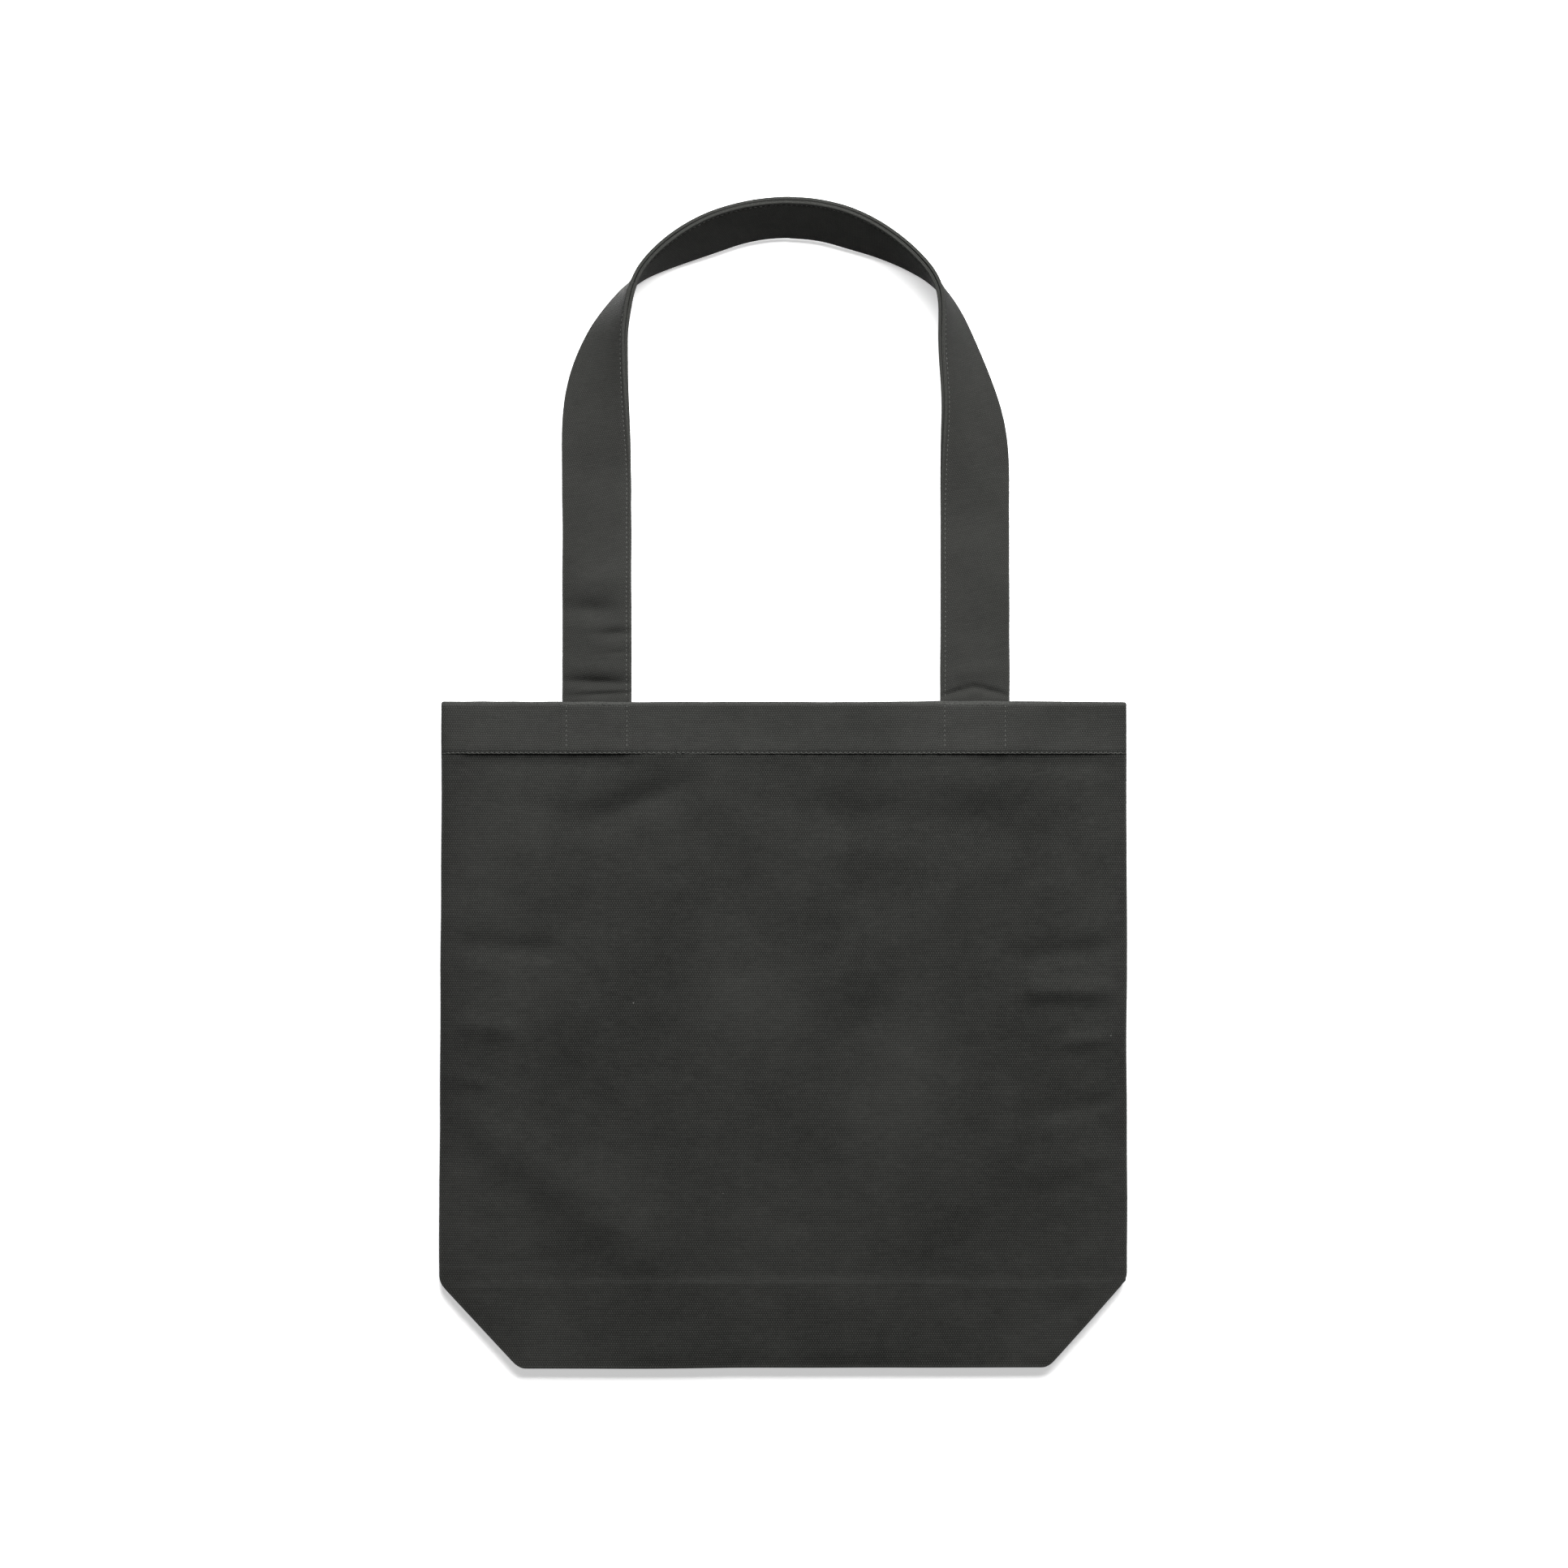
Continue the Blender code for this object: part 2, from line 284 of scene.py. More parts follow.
def times_plus(tree, value, factor, added):
    return sum_node(tree, "MULTIPLY_ADD", value, factor, added)


def point_node(tree, x, y, z=0.0):
    node = tree.nodes.new("ShaderNodeCombineXYZ")
    for socket, value in zip(node.inputs, (x, y, z)):
        join(tree, value, socket)
    return node.outputs[0]


def cloud_node(tree, place, scale, detail=2.0, roughness=0.5):
    node = tree.nodes.new("ShaderNodeTexNoise")
    for label, value in (("Vector", place), ("Scale", scale), ("Detail", detail), ("Roughness", roughness)):
        join(tree, value, node.inputs[label])
    return node.outputs["Fac"]


def range_node(tree, value, low, high, to_low=0.0, to_high=1.0):
    node = tree.nodes.new("ShaderNodeMapRange")
    for socket, given in zip(node.inputs, (value, low, high, to_low, to_high)):
        join(tree, given, socket)
    return node.outputs[0]


def axes_of(tree, place):
    node = tree.nodes.new("ShaderNodeSeparateXYZ")
    tree.links.new(place, node.inputs[0])
    return node.outputs


def colour_mix(tree, share, first, second):
    node = tree.nodes.new("ShaderNodeMix")
    node.data_type = "RGBA"
    join(tree, share, node.inputs[0])
    for socket, value in ((node.inputs[6], first), (node.inputs[7], second)):
        join(tree, value if isinstance(value, bpy.types.NodeSocket) else (*value, 1.0), socket)
    return node.outputs[2]


def group_with(name, inputs, outputs):
    tree = bpy.data.node_groups.new(name, "ShaderNodeTree")
    for label, kind in inputs:
        tree.interface.new_socket(label, in_out="INPUT", socket_type=kind)
    for label in outputs:
        tree.interface.new_socket(label, in_out="OUTPUT", socket_type="NodeSocketFloat")
    given = tree.nodes.new("NodeGroupInput").outputs
    result = tree.nodes.new("NodeGroupOutput").inputs
    return tree, given, result


def yarn_round(tree, count):
    """1 along the middle of each yarn and 0 between two, where count rises by one from yarn to yarn."""
    return sum_node(tree, "ABSOLUTE", sum_node(tree, "SINE", times(tree, count, pi)))


def yarn_height(tree, profile, bow, over):
    """A yarn is rounded across, bowed along, and lower where the other set passes over it."""
    crest = times_plus(tree, bow, YARN_BOW, 1 - YARN_BOW)
    top = times(tree, sum_node(tree, "POWER", profile, YARN_ROUNDNESS), crest)
    return times(tree, top, times_plus(tree, over, 1 - UNDER_HEIGHT, UNDER_HEIGHT))


def slub_tone(tree, across, along, warp_number, weft_number):
    """Thicker and thinner stretches along each yarn, more of them seen on the weft."""
    weft_place = point_node(tree, times(tree, across, 110.0), times(tree, weft_number, 5.37))
    warp_place = point_node(tree, times(tree, warp_number, 6.13), times(tree, along, 170.0), 3.0)
    weft_slub = range_node(tree, cloud_node(tree, weft_place, 1.0, 3.0, 0.6), 0.30, 0.74)
    warp_slub = range_node(tree, cloud_node(tree, warp_place, 1.0, 3.0, 0.6), 0.34, 0.72)
    return plus(tree, times(tree, weft_slub, 1 - WARP_SLUB_SHARE), times(tree, warp_slub, WARP_SLUB_SHARE))


def lint_mask(tree, place):
    """A few pale specks, well apart."""
    flecks = tree.nodes.new("ShaderNodeTexVoronoi")
    flecks.inputs["Scale"].default_value = LINT_SCALE
    tree.links.new(place, flecks.inputs["Vector"])
    near = range_node(tree, flecks.outputs["Distance"], 0.012, 0.030, 1.0, 0.0)
    picked = tree.nodes.new("ShaderNodeSeparateColor")
    tree.links.new(flecks.outputs["Color"], picked.inputs[0])
    return times(tree, near, sum_node(tree, "GREATER_THAN", picked.outputs[0], LINT_RARITY))


def plain_weave_group():
    """One yarn over and one under, with the weft's ribs a little heavier, slubs along the yarns, and lint;
    its tone paints the raised yarns lighter and the gaps between the yarns darker, a painted highlight and
    painted shade.
    """
    number = "NodeSocketFloat"
    wanted = [("Place", "NodeSocketVector"), ("Warp pitch", number), ("Weft pitch", number)]
    tree, given, result = group_with("plain weave", wanted, ("Height", "Yarn tone with painted light and shade", "Lint"))
    place = given["Place"]
    axes = axes_of(tree, place)
    drift = less(tree, cloud_node(tree, place, 45.0), 0.5)
    across = plus(tree, axes[0], times(tree, drift, WARP_DRIFT))
    along = plus(tree, axes[1], times(tree, drift, WEFT_DRIFT))
    warp = sum_node(tree, "DIVIDE", across, given["Warp pitch"])
    weft = sum_node(tree, "DIVIDE", along, given["Weft pitch"])
    warp_round = yarn_round(tree, warp)
    weft_round = yarn_round(tree, weft)
    warp_number = sum_node(tree, "FLOOR", warp)
    weft_number = sum_node(tree, "FLOOR", weft)
    warp_over = sum_node(tree, "FLOORED_MODULO", plus(tree, warp_number, weft_number), 2.0)
    warp_yarn = yarn_height(tree, warp_round, weft_round, warp_over)
    weft_yarn = yarn_height(tree, weft_round, warp_round, less(tree, 1.0, warp_over))
    height = sum_node(tree, "MAXIMUM", warp_yarn, times(tree, weft_yarn, WEFT_HEIGHT))
    fibre = cloud_node(tree, place, 2600.0, 2.0, 0.7)
    tree.links.new(plus(tree, height, times(tree, fibre, FIBRE_HEIGHT)), result["Height"])

    slub = slub_tone(tree, across, along, warp_number, weft_number)
    # Painted highlight on the raised yarns, the warp's floats most, and painted shade between the yarns and
    # along each weft rib; the slubs are the yarns' own tone
    raised_dot = times(tree, height, times_plus(tree, warp_over, 0.60, 0.40))
    rib = sum_node(tree, "POWER", weft_round, 1.4)
    uneven = range_node(tree, cloud_node(tree, place, 260.0, 2.0, 0.6), 0.30, 0.70, 0.35, 1.25)
    dots = times(tree, less(tree, raised_dot, MEAN_DOT), uneven)
    tone = times_plus(tree, dots, DOT_PAINTED_HIGHLIGHT, MEAN_TONE)
    tone = times_plus(tree, rib, RIB_PAINTED_LIGHT, tone)
    tone = times_plus(tree, less(tree, slub, 0.5), SLUB_TONE, tone)
    tree.links.new(sum_node(tree, "MAXIMUM", tone, 0.0), result["Yarn tone with painted light and shade"])
    tree.links.new(lint_mask(tree, place), result["Lint"])
    return tree


def patches_wear_and_highlight_group():
    """Broad cloudy patches where the dyed cloth is scuffed or pressed, and a lift along folded edges: wear,
    with a painted highlight.
    """
    wanted = [("Place", "NodeSocketVector"), ("Worn", "NodeSocketFloat")]
    tree, given, result = group_with("rubbed patches", wanted, ("Patches", "Rubbed and highlit"))
    wide = cloud_node(tree, given["Place"], 9.0, 2.0, 0.55)
    small = cloud_node(tree, given["Place"], 70.0, 3.0, 0.6)
    both = plus(tree, times(tree, wide, 1 - SMALL_PATCH_SHARE), times(tree, small, SMALL_PATCH_SHARE))
    tree.links.new(range_node(tree, both, 0.34, 0.66), result["Patches"])
    broken = range_node(tree, cloud_node(tree, given["Place"], 900.0, 2.0, 0.6), 0.3, 0.65, 0.35, 1.0)
    tree.links.new(times(tree, given["Worn"], broken), result["Rubbed and highlit"])
    return tree


def twisted_thread_group():
    """The slanting plies of a sewing thread, with stray fibres."""
    tree, given, result = group_with("thread twist", [("Place", "NodeSocketVector")], ("Ply", "Fuzz"))
    axes = axes_of(tree, given["Place"])
    slant = plus(tree, times(tree, axes[0], PLY_AROUND), times(tree, axes[1], PLY_ALONG))
    tree.links.new(times_plus(tree, sum_node(tree, "SINE", slant), 0.5, 0.5), result["Ply"])
    tree.links.new(cloud_node(tree, given["Place"], 3000.0, 2.0, 0.7), result["Fuzz"])
    return tree


def shared_group(tree, group, place):
    node = tree.nodes.new("ShaderNodeGroup")
    node.node_tree = group
    tree.links.new(place, node.inputs["Place"])
    return node


def weave_place(tree):
    node = tree.nodes.new("ShaderNodeUVMap")
    node.uv_map = "weave"
    return node.outputs[0]


def object_place(tree):
    return tree.nodes.new("ShaderNodeTexCoord").outputs["Object"]


def new_material(name):
    material = bpy.data.materials.new(name)
    material.use_nodes = True
    return material, material.node_tree, material.node_tree.nodes["Principled BSDF"]


def raised(tree, shader, height, distance, strength):
    bump = tree.nodes.new("ShaderNodeBump")
    bump.inputs["Distance"].default_value = distance
    bump.inputs["Strength"].default_value = strength
    tree.links.new(height, bump.inputs["Height"])
    tree.links.new(bump.outputs[0], shader.inputs["Normal"])


def canvas_material(name, weave, dark, light, rubbed_and_highlit):
    """Dyed cotton canvas: woven yarns with a painted highlight on their crests and painted shade between
    them, slubs, scuffed patches, and folded edges lightened by wear and a painted highlight.
    """
    material, tree, shader = new_material(name)
    turned = tree.nodes.new("ShaderNodeMapping")
    turned.inputs["Rotation"].default_value = (0, 0, weave.slant)
    tree.links.new(weave_place(tree), turned.inputs["Vector"])
    yarns = shared_group(tree, PLAIN_WEAVE, turned.outputs[0])
    yarns.inputs["Warp pitch"].default_value = weave.warp_pitch
    yarns.inputs["Weft pitch"].default_value = weave.weft_pitch
    patches = shared_group(tree, PATCHES_WEAR_AND_HIGHLIGHT, object_place(tree))
    worn = tree.nodes.new("ShaderNodeAttribute")
    worn.attribute_name = "worn"
    tree.links.new(worn.outputs["Fac"], patches.inputs["Worn"])
    # The yarn tone carries a painted highlight and painted shade from the weave's relief, besides the slubs
    yarn_tone_with_painted_shade = times(tree, yarns.outputs["Yarn tone with painted light and shade"], YARN_SHARE)
    tone = plus(tree, yarn_tone_with_painted_shade, times(tree, patches.outputs["Patches"], PATCH_SHARE))
    dyed = colour_mix(tree, tone, dark, light)
    # Lighter along folded edges: wear, with a painted highlight
    edged = colour_mix(tree, times(tree, patches.outputs["Rubbed and highlit"], RUB_AND_HIGHLIGHT_SHARE), dyed, rubbed_and_highlit)
    flecked = colour_mix(tree, times(tree, yarns.outputs["Lint"], LINT_SHARE), edged, LINT)
    tree.links.new(flecked, shader.inputs["Base Color"])
    matt = range_node(tree, patches.outputs["Patches"], 0.0, 1.0, UNRUBBED_ROUGHNESS, RUBBED_ROUGHNESS)
    tree.links.new(matt, shader.inputs["Roughness"])
    shader.inputs["Specular IOR Level"].default_value = 0.10
    shader.inputs["Sheen Weight"].default_value = 0.02
    shader.inputs["Sheen Roughness"].default_value = 0.5
    raised(tree, shader, yarns.outputs["Height"], weave.relief, WEAVE_STRENGTH)
    return material


def thread_material(name, dark, light):
    """Polyester sewing thread: slanting plies with a soft shine."""
    material, tree, shader = new_material(name)
    twist = shared_group(tree, THREAD_TWIST, weave_place(tree))
    # Painted shade in the grooves between the plies and a lighter crest along each ply
    tone = times(tree, twist.outputs["Ply"], plus(tree, twist.outputs["Fuzz"], 0.4))
    tree.links.new(colour_mix(tree, tone, dark, light), shader.inputs["Base Color"])
    tree.links.new(range_node(tree, twist.outputs["Fuzz"], 0.0, 1.0, 0.55, 0.8), shader.inputs["Roughness"])
    shader.inputs["Specular IOR Level"].default_value = 0.35
    raised(tree, shader, twist.outputs["Ply"], PLY_RELIEF, 0.7)
    return material


PLAIN_WEAVE = plain_weave_group()
PATCHES_WEAR_AND_HIGHLIGHT = patches_wear_and_highlight_group()
THREAD_TWIST = twisted_thread_group()
BODY_CANVAS = canvas_material(
    "charcoal body canvas",
    BODY_WEAVE,
    dark=(0.0070, 0.0072, 0.0066),
    light=(0.0366, 0.0370, 0.0342),
    rubbed_and_highlit=(0.060, 0.061, 0.058),
)
# The hem's copy of the body cloth, lighter than the body
HEM_CANVAS = canvas_material(
    "hem canvas lighter than the body",
    BODY_WEAVE,
    dark=(0.0148, 0.0150, 0.0139),
    light=(0.0430, 0.0436, 0.0405),
    rubbed_and_highlit=(0.075, 0.076, 0.072),
)
INSIDE_CANVAS = canvas_material(
    "inside of the body canvas",
    BODY_WEAVE,
    dark=(0.0090, 0.0092, 0.0084),
    light=(0.0300, 0.0305, 0.0280),
    rubbed_and_highlit=(0.050, 0.051, 0.048),
)
STRAP_CANVAS = canvas_material(
    "charcoal strap canvas",
    STRAP_WEAVE,
    dark=(0.0165, 0.0167, 0.0154),
    light=(0.0385, 0.0390, 0.0361),
    rubbed_and_highlit=(0.055, 0.056, 0.052),
)
SEWING_THREAD = thread_material("grey sewing thread", dark=(0.034, 0.035, 0.032), light=(0.105, 0.107, 0.100))


# Cloth as meshes -------------------------------------------

CAP_ANGLE = radians(65)
EDGE_ANGLE = radians(48)


def pick(obj):
    bpy.ops.object.select_all(action="DESELECT")
    obj.select_set(True)
    bpy.context.view_layer.objects.active = obj


def cloth_mesh(name, rows, material, around=False, flip=False):
    """A woven surface through rows of knots, each with its place on the flat cloth, in metres, and how much
    wear and painted highlight lighten it.

    Where the cloth goes around, the last knot of a row only says how the weave meets the row's first one."""
    shape = bmesh.new()
    rings = [row[:-1] if around else row for row in rows]
    verts = [[shape.verts.new(knot.at) for knot in ring] for ring in rings]
    pattern = shape.loops.layers.uv.new("weave")
    for row in range(len(rows) - 1):
        for column in range(len(rows[0]) - 1):
            corners = [(row, column), (row, column + 1), (row + 1, column + 1), (row + 1, column)]
            if flip:
                corners.reverse()
            face = shape.faces.new([verts[across][along % len(verts[0])] for across, along in corners])
            face.smooth = True
            for loop, (across, along) in zip(face.loops, corners):
                loop[pattern].uv = rows[across][along].weave
    if around:
        for end in (0, -1):
            cap = shape.faces.new(verts[end])
            for loop, knot in zip(cap.loops, rows[end]):
                loop[pattern].uv = knot.weave
        bmesh.ops.recalc_face_normals(shape, faces=shape.faces)
    mesh = bpy.data.meshes.new(name)
    shape.to_mesh(mesh)
    shape.free()
    mesh.materials.append(material)
    worn = mesh.attributes.new("worn", "FLOAT", "POINT")
    worn.data.foreach_set("value", [knot.worn for ring in rings for knot in ring])
    obj = bpy.data.objects.new(name, mesh)
    bpy.context.scene.collection.objects.link(obj)
    if around:
        pick(obj)
        bpy.ops.object.shade_smooth_by_angle(angle=CAP_ANGLE)
    return obj


def thicken(obj, thickness):
    """Gives the sheet its thickness, away from the side that its faces look to."""
    solid = obj.modifiers.new("cloth thickness", "SOLIDIFY")
    solid.thickness = thickness
    solid.offset = -1
    solid.use_even_offset = False
    pick(obj)
    bpy.ops.object.modifier_apply(modifier=solid.name)
    bpy.ops.object.shade_smooth_by_angle(angle=EDGE_ANGLE)
    return obj


# The bag's hanging shape -----------------------------------

EDGE_STEPS = (0, 0.0001, 0.0003, 0.0006, 0.0010, 0.0016, 0.0025, 0.0040, 0.0060, 0.0085)
PANEL_STEP = 0.0028
PINNED_STRIP = 0.008

# Soft folds over the front, as lines on it: x, and how far below the bag's top edge
FRONT_FOLDS = (
    Fold((-0.109, 0.070), (-0.069, 0.054), 0.010, -0.0013),
    Fold((-0.060, 0.046), (-0.018, 0.076), 0.020, 0.0006),
    Fold((0.040, 0.068), (0.125, 0.075), 0.016, -0.0010),
    Fold((0.040, 0.170), (0.112, 0.109), 0.017, 0.0009),
    Fold((0.199, 0.045), (0.199, 0.122), 0.0024, -0.0004),
    Fold((0.150, 0.156), (0.204, 0.150), 0.007, -0.0007),
    Fold((0.155, 0.176), (0.207, 0.176), 0.0065, 0.0010),
    Fold((0.175, 0.208), (0.206, 0.204), 0.005, 0.0006),
    Fold((0.168, 0.250), (0.206, 0.244), 0.006, -0.0005),
    Fold((0.150, 0.288), (0.205, 0.276), 0.007, 0.0003),
    Fold((-0.205, 0.148), (-0.150, 0.152), 0.007, -0.0007),
    Fold((-0.205, 0.194), (-0.172, 0.200), 0.007, 0.0006),
    Fold((-0.206, 0.229), (-0.186, 0.232), 0.0045, 0.0006),
    Fold((-0.150, 0.095), (-0.130, 0.190), 0.018, 0.0007),
    Fold((-0.185, 0.258), (-0.092, 0.330), 0.016, 0.0008),
)
BACK_FOLDS = (
    Fold((-0.128, 0.034), (-0.070, 0.085), 0.014, -0.0006),
    Fold((0.110, 0.032), (0.052, 0.102), 0.020, 0.0004),
    Fold((-0.192, 0.060), (-0.150, 0.140), 0.012, 0.0004),
    Fold((0.030, 0.070), (-0.085, 0.180), 0.030, 0.0003),
    Fold((0.200, 0.180), (0.105, 0.205), 0.012, -0.0007),
    Fold((-0.200, 0.240), (-0.110, 0.225), 0.012, 0.0004),
    Fold((0.140, 0.250), (0.050, 0.335), 0.026, -0.0007),
)


def side_reach(z, hand):
    """From the middle of the bag to its side seam, which wanders a little."""
    wider = WIDER_FOOT[hand] * smooth_step((TOP - z) / 0.35)
    return HALF_WIDTH - SIDE_INSET + SIDE_DRIFT * wander(z, 0.045, 2 + hand) + wider


def shell_depth(x, z):
    """How far the cloth's outer face stands from the bag's middle plane before it is creased."""
    rise = (z - BOTTOM) / (TOP - BOTTOM)
    middle = blend_between(FOOT_STAND, TOP_STAND, smooth_step(rise / FULL_BY))
    middle += SAG * sin(pi * min(max(rise, 0.0), 1.0)) ** 2
    share = abs(x) / side_reach(z, hand_of(x))
    closing = sqrt(max(0.0, 1 - share**CLOSING_POWER))
    return EDGE_STAND + (middle - EDGE_STAND) * closing


def half_width(z, hand):
    """From the middle of the bag to its side, or to the fold that cuts off its lower corner."""
    side = side_reach(z, hand)
    rise, inset = CHAMFER_LEFT if hand == LEFT else CHAMFER_RIGHT
    foot = z - BOTTOM
    cut = HALF_WIDTH - inset + inset * foot / rise
    gap = (side - cut) / CORNER_SOFT
    if gap > -1:
        side = cut if gap >= 1 else side - CORNER_SOFT * (gap + 1) ** 2 / 4
    if foot < CORNER_SOFT:
        side -= CORNER_SOFT - sqrt(max(0.0, CORNER_SOFT**2 - (CORNER_SOFT - foot) ** 2))
    return side


def foot_drift(x):
    """The bag's foot hangs a little lower towards its left."""
    return FOOT_WANDER * wander(x, 0.06, 5) - FOOT_SLANT * smooth_step(0.5 - x / 0.32)


def fold_height(fold, x, below):
    """The fold's height at a place: rounded across, and fading out past both ends of its line."""
    start, end = Vector(fold.start), Vector(fold.end)
    line = end - start
    reach = line.length
    offset = Vector((x, below)) - start
    along = offset.dot(line) / reach
    past = max(0.0, -along, along - reach)
    aside = abs(offset.x * line.y - offset.y * line.x) / reach
    return fold.height * bump_at(aside, fold.width) * bump_at(past, fold.width * 1.6)


def above_tuck(x, z, side):
    """How far a place lies above the mark that the tucked base presses into the cloth."""
    line = TUCK_RISE + TUCK_BOW * bump_at(x - 0.02, 0.10) + TUCK_WANDER * wander(x, 0.05, 11 + side)
    return z - BOTTOM - line


def tuck_lighter_line(x, z, side):
    """The faint lighter line along the tucked base, which runs out into two lines at the bag's left."""
    tuck = above_tuck(x, z, side)
    above = tuck - SECOND_LINE_ABOVE - 0.02 * (x + HALF_WIDTH)
    second = bump_at(above, 0.0013) * smooth_step((-0.125 - x) / 0.03)
    return TUCK_LINE_LIGHTENING * (0.65 + 0.35 * wander(x, 0.035, 23 + side)) * max(bump_at(tuck, 0.0012), second)


def relief(x, z, side):
    """Soft folds, the mark of the tucked base and small unevenness, which die away at the bag's edges."""
    below = TOP - z
    folds = FRONT_FOLDS if side == FRONT else BACK_FOLDS
    height = FOLD_STRENGTH * sum(fold_height(fold, x, below) for fold in folds)
    height += BROAD_RIPPLE * noise.noise(Vector((x / 0.070, z / 0.050, 3.0 * side)))
    height += SMALL_RIPPLE * noise.noise(Vector((x / 0.022, z / 0.012, 9.0 * side)))
    tuck = above_tuck(x, z, side)
    height += TUCK_STEP * smooth_step(0.5 - tuck / 0.004) + TUCK_RIDGE * bump_at(tuck, 0.0014)
    past_straps = max(smooth_step((-x - LEFT_STRAP) / 0.02), smooth_step((x - RIGHT_STRAP) / 0.02))
    drawn_in = DRAWN_IN + DRAWN_IN_SIDES * past_straps
    height -= drawn_in * bump_at(below - HEM_DEPTH - DRAWN_IN_REACH, DRAWN_IN_REACH)
    fade = smooth_step((HALF_WIDTH - abs(x)) / 0.022) * smooth_step((z - BOTTOM) / 0.010)
    return height * fade


def pinned_middle(x):
    """Level over a narrow strip at x = 0, so that the two halves of the front meet without a line."""
    return x * smooth_step(abs(x) / PINNED_STRIP)


def rolled(from_edge, radius=FOLD_RADIUS):
    """How far a folded edge has turned in at a distance from it."""
    if from_edge >= radius:
        return 0.0
    return radius - sqrt(max(0.0, radius**2 - (radius - from_edge) ** 2))


def from_edge_inwards(length, step, near=EDGE_STEPS):
    """Distances in from an edge, close together beside it and even from there to the end of the length."""
    count = ceil((length - near[-1]) / step)
    return list(near) + [near[-1] + (length - near[-1]) * (index + 1) / count for index in range(count)]


def across_bag(step, near, hands):
    """Places across the bag, or across one half of it, closer together near the sides."""
    half = [HALF_WIDTH - inward for inward in from_edge_inwards(HALF_WIDTH, step, near)]
    left = [-x for x in half]
    right = half[::-1]
    if hands == (LEFT,):
        return left
    return right if hands == (RIGHT,) else left + right[1:]


def body_knot(share, z, side):
    """A place on a face of the bag, at a share of the way from the middle to its side."""
    rise = z - BOTTOM
    reach = half_width(z, hand_of(share))
    x = share * reach
    from_side = reach - abs(x)
    stand = shell_depth(x, z) + relief(pinned_middle(x), z, side) - rolled(from_side) - rolled(rise)
    drift = foot_drift(x) * (1 - smooth_step(rise / 0.05))
    # Lighter along the folded side and foot edges, from wear and a painted highlight, and along the tuck's
    # lighter line
    worn = max(bump_at(from_side, EDGE_WEAR_AND_HIGHLIGHT), bump_at(rise, EDGE_WEAR_AND_HIGHLIGHT), tuck_lighter_line(x, z, side))
    return Knot(Vector((x, side * stand, z + drift)), (x, z), worn)


def body_cloth(name, side, hands):
    """One face of the bag, from the fold at its foot up to the hem."""
    shares = [x / HALF_WIDTH for x in across_bag(PANEL_STEP, EDGE_STEPS, hands)]
    heights = [BOTTOM + rise for rise in from_edge_inwards(HEM_FOOT + HEM_LAP - BOTTOM, PANEL_STEP)]
    rows = [[body_knot(share, z, side) for share in shares] for z in heights]
    return thicken(cloth_mesh(name, rows, BODY_CANVAS, flip=side == BACK), CLOTH)


# Stitches --------------------------------------------------


def one_stitch():
    """A short bowed length of thread, lying along Y and rising along Z, whose two ends dip into the cloth."""
    bpy.ops.object.select_all(action="DESELECT")
    bpy.ops.mesh.primitive_uv_sphere_add(segments=6, ring_count=6, radius=1.0, rotation=(radians(90), 0, 0))
    obj = bpy.context.object
    obj.name = "one_stitch"
    bpy.ops.object.transform_apply(location=True, rotation=True, scale=True)
    bpy.ops.object.mode_set(mode="EDIT")
    bpy.ops.mesh.select_all(action="SELECT")
    bpy.ops.transform.resize(value=(THREAD_RADIUS, STITCH_LENGTH / 2, THREAD_RADIUS))
    bpy.ops.object.mode_set(mode="OBJECT")
    for vert in obj.data.vertices:
        end = abs(vert.co.y) / (STITCH_LENGTH / 2)
        vert.co.z -= STITCH_DIP * end**3 - STITCH_LIFT
    points = [vert.co.copy() for vert in obj.data.vertices]
    faces = [tuple(face.vertices) for face in obj.data.polygons]
    bpy.data.objects.remove(obj, do_unlink=True)
    return points, faces


STITCH_POINTS, STITCH_FACES = one_stitch()


def stitches(name, places):
    """Copies of the one stitch, each lying along its own direction on the cloth."""
    points, faces, weave = [], [], []
    for number, stitch in enumerate(places):
        along = stitch.along.normalized()
        out = stitch.out.normalized()
        across = along.cross(out)
        along = (along + across * STITCH_LEAN * sin(number * 2.4)).normalized()
        sunk = out * STITCH_SINK * (noise.noise(Vector((number * 0.21, 3.7, 0.5))) - 0.1)
        first = len(points)
        for point in STITCH_POINTS:
            reach = across * point.x + along * point.y * stitch.stretch + out * point.z
            points.append(stitch.at + sunk + reach)
            weave.append((point.x + point.z, point.y + number * STITCH_PITCH))
        faces += [tuple(first + corner for corner in face) for face in STITCH_FACES]
    mesh = bpy.data.meshes.new(name)
    mesh.from_pydata(points, [], faces)
    pattern = mesh.uv_layers.new(name="weave")
    for loop in mesh.loops:
        pattern.data[loop.index].uv = weave[loop.vertex_index]
    mesh.shade_smooth()
    mesh.materials.append(SEWING_THREAD)
    shape = bmesh.new()
    shape.from_mesh(mesh)
    bmesh.ops.recalc_face_normals(shape, faces=shape.faces)
    shape.to_mesh(mesh)
    shape.free()
    obj = bpy.data.objects.new(name, mesh)
    bpy.context.scene.collection.objects.link(obj)
    return obj


# The hem ---------------------------------------------------

# Heights above the hem's foot: close together at its stitches, wider over its face
HEM_ROWS = (0.0004, 0.0007, 0.0010, 0.0013, 0.0017, 0.0022, 0.0030, 0.0042, 0.0060, 0.0085, 0.0115)
HEM_ROWS += (0.0145, 0.0175, 0.0205, 0.0235, 0.0260, 0.0280, 0.0290, 0.0298, 0.0306)
HEM_TURN_STEPS = 6
CORNER_BELOW_TOP = 0.004


def top_drift(x):
    calm = pinned_middle(x)
    return 0.0004 * wander(calm, 0.05, 21) + 0.0002 * wander(calm, 0.013, 22)


def pucker(distance):
    """1 where the needle went in, 0 in the middle of a stitch."""
    return 0.5 + 0.5 * cos(2 * pi * distance / STITCH_PITCH)


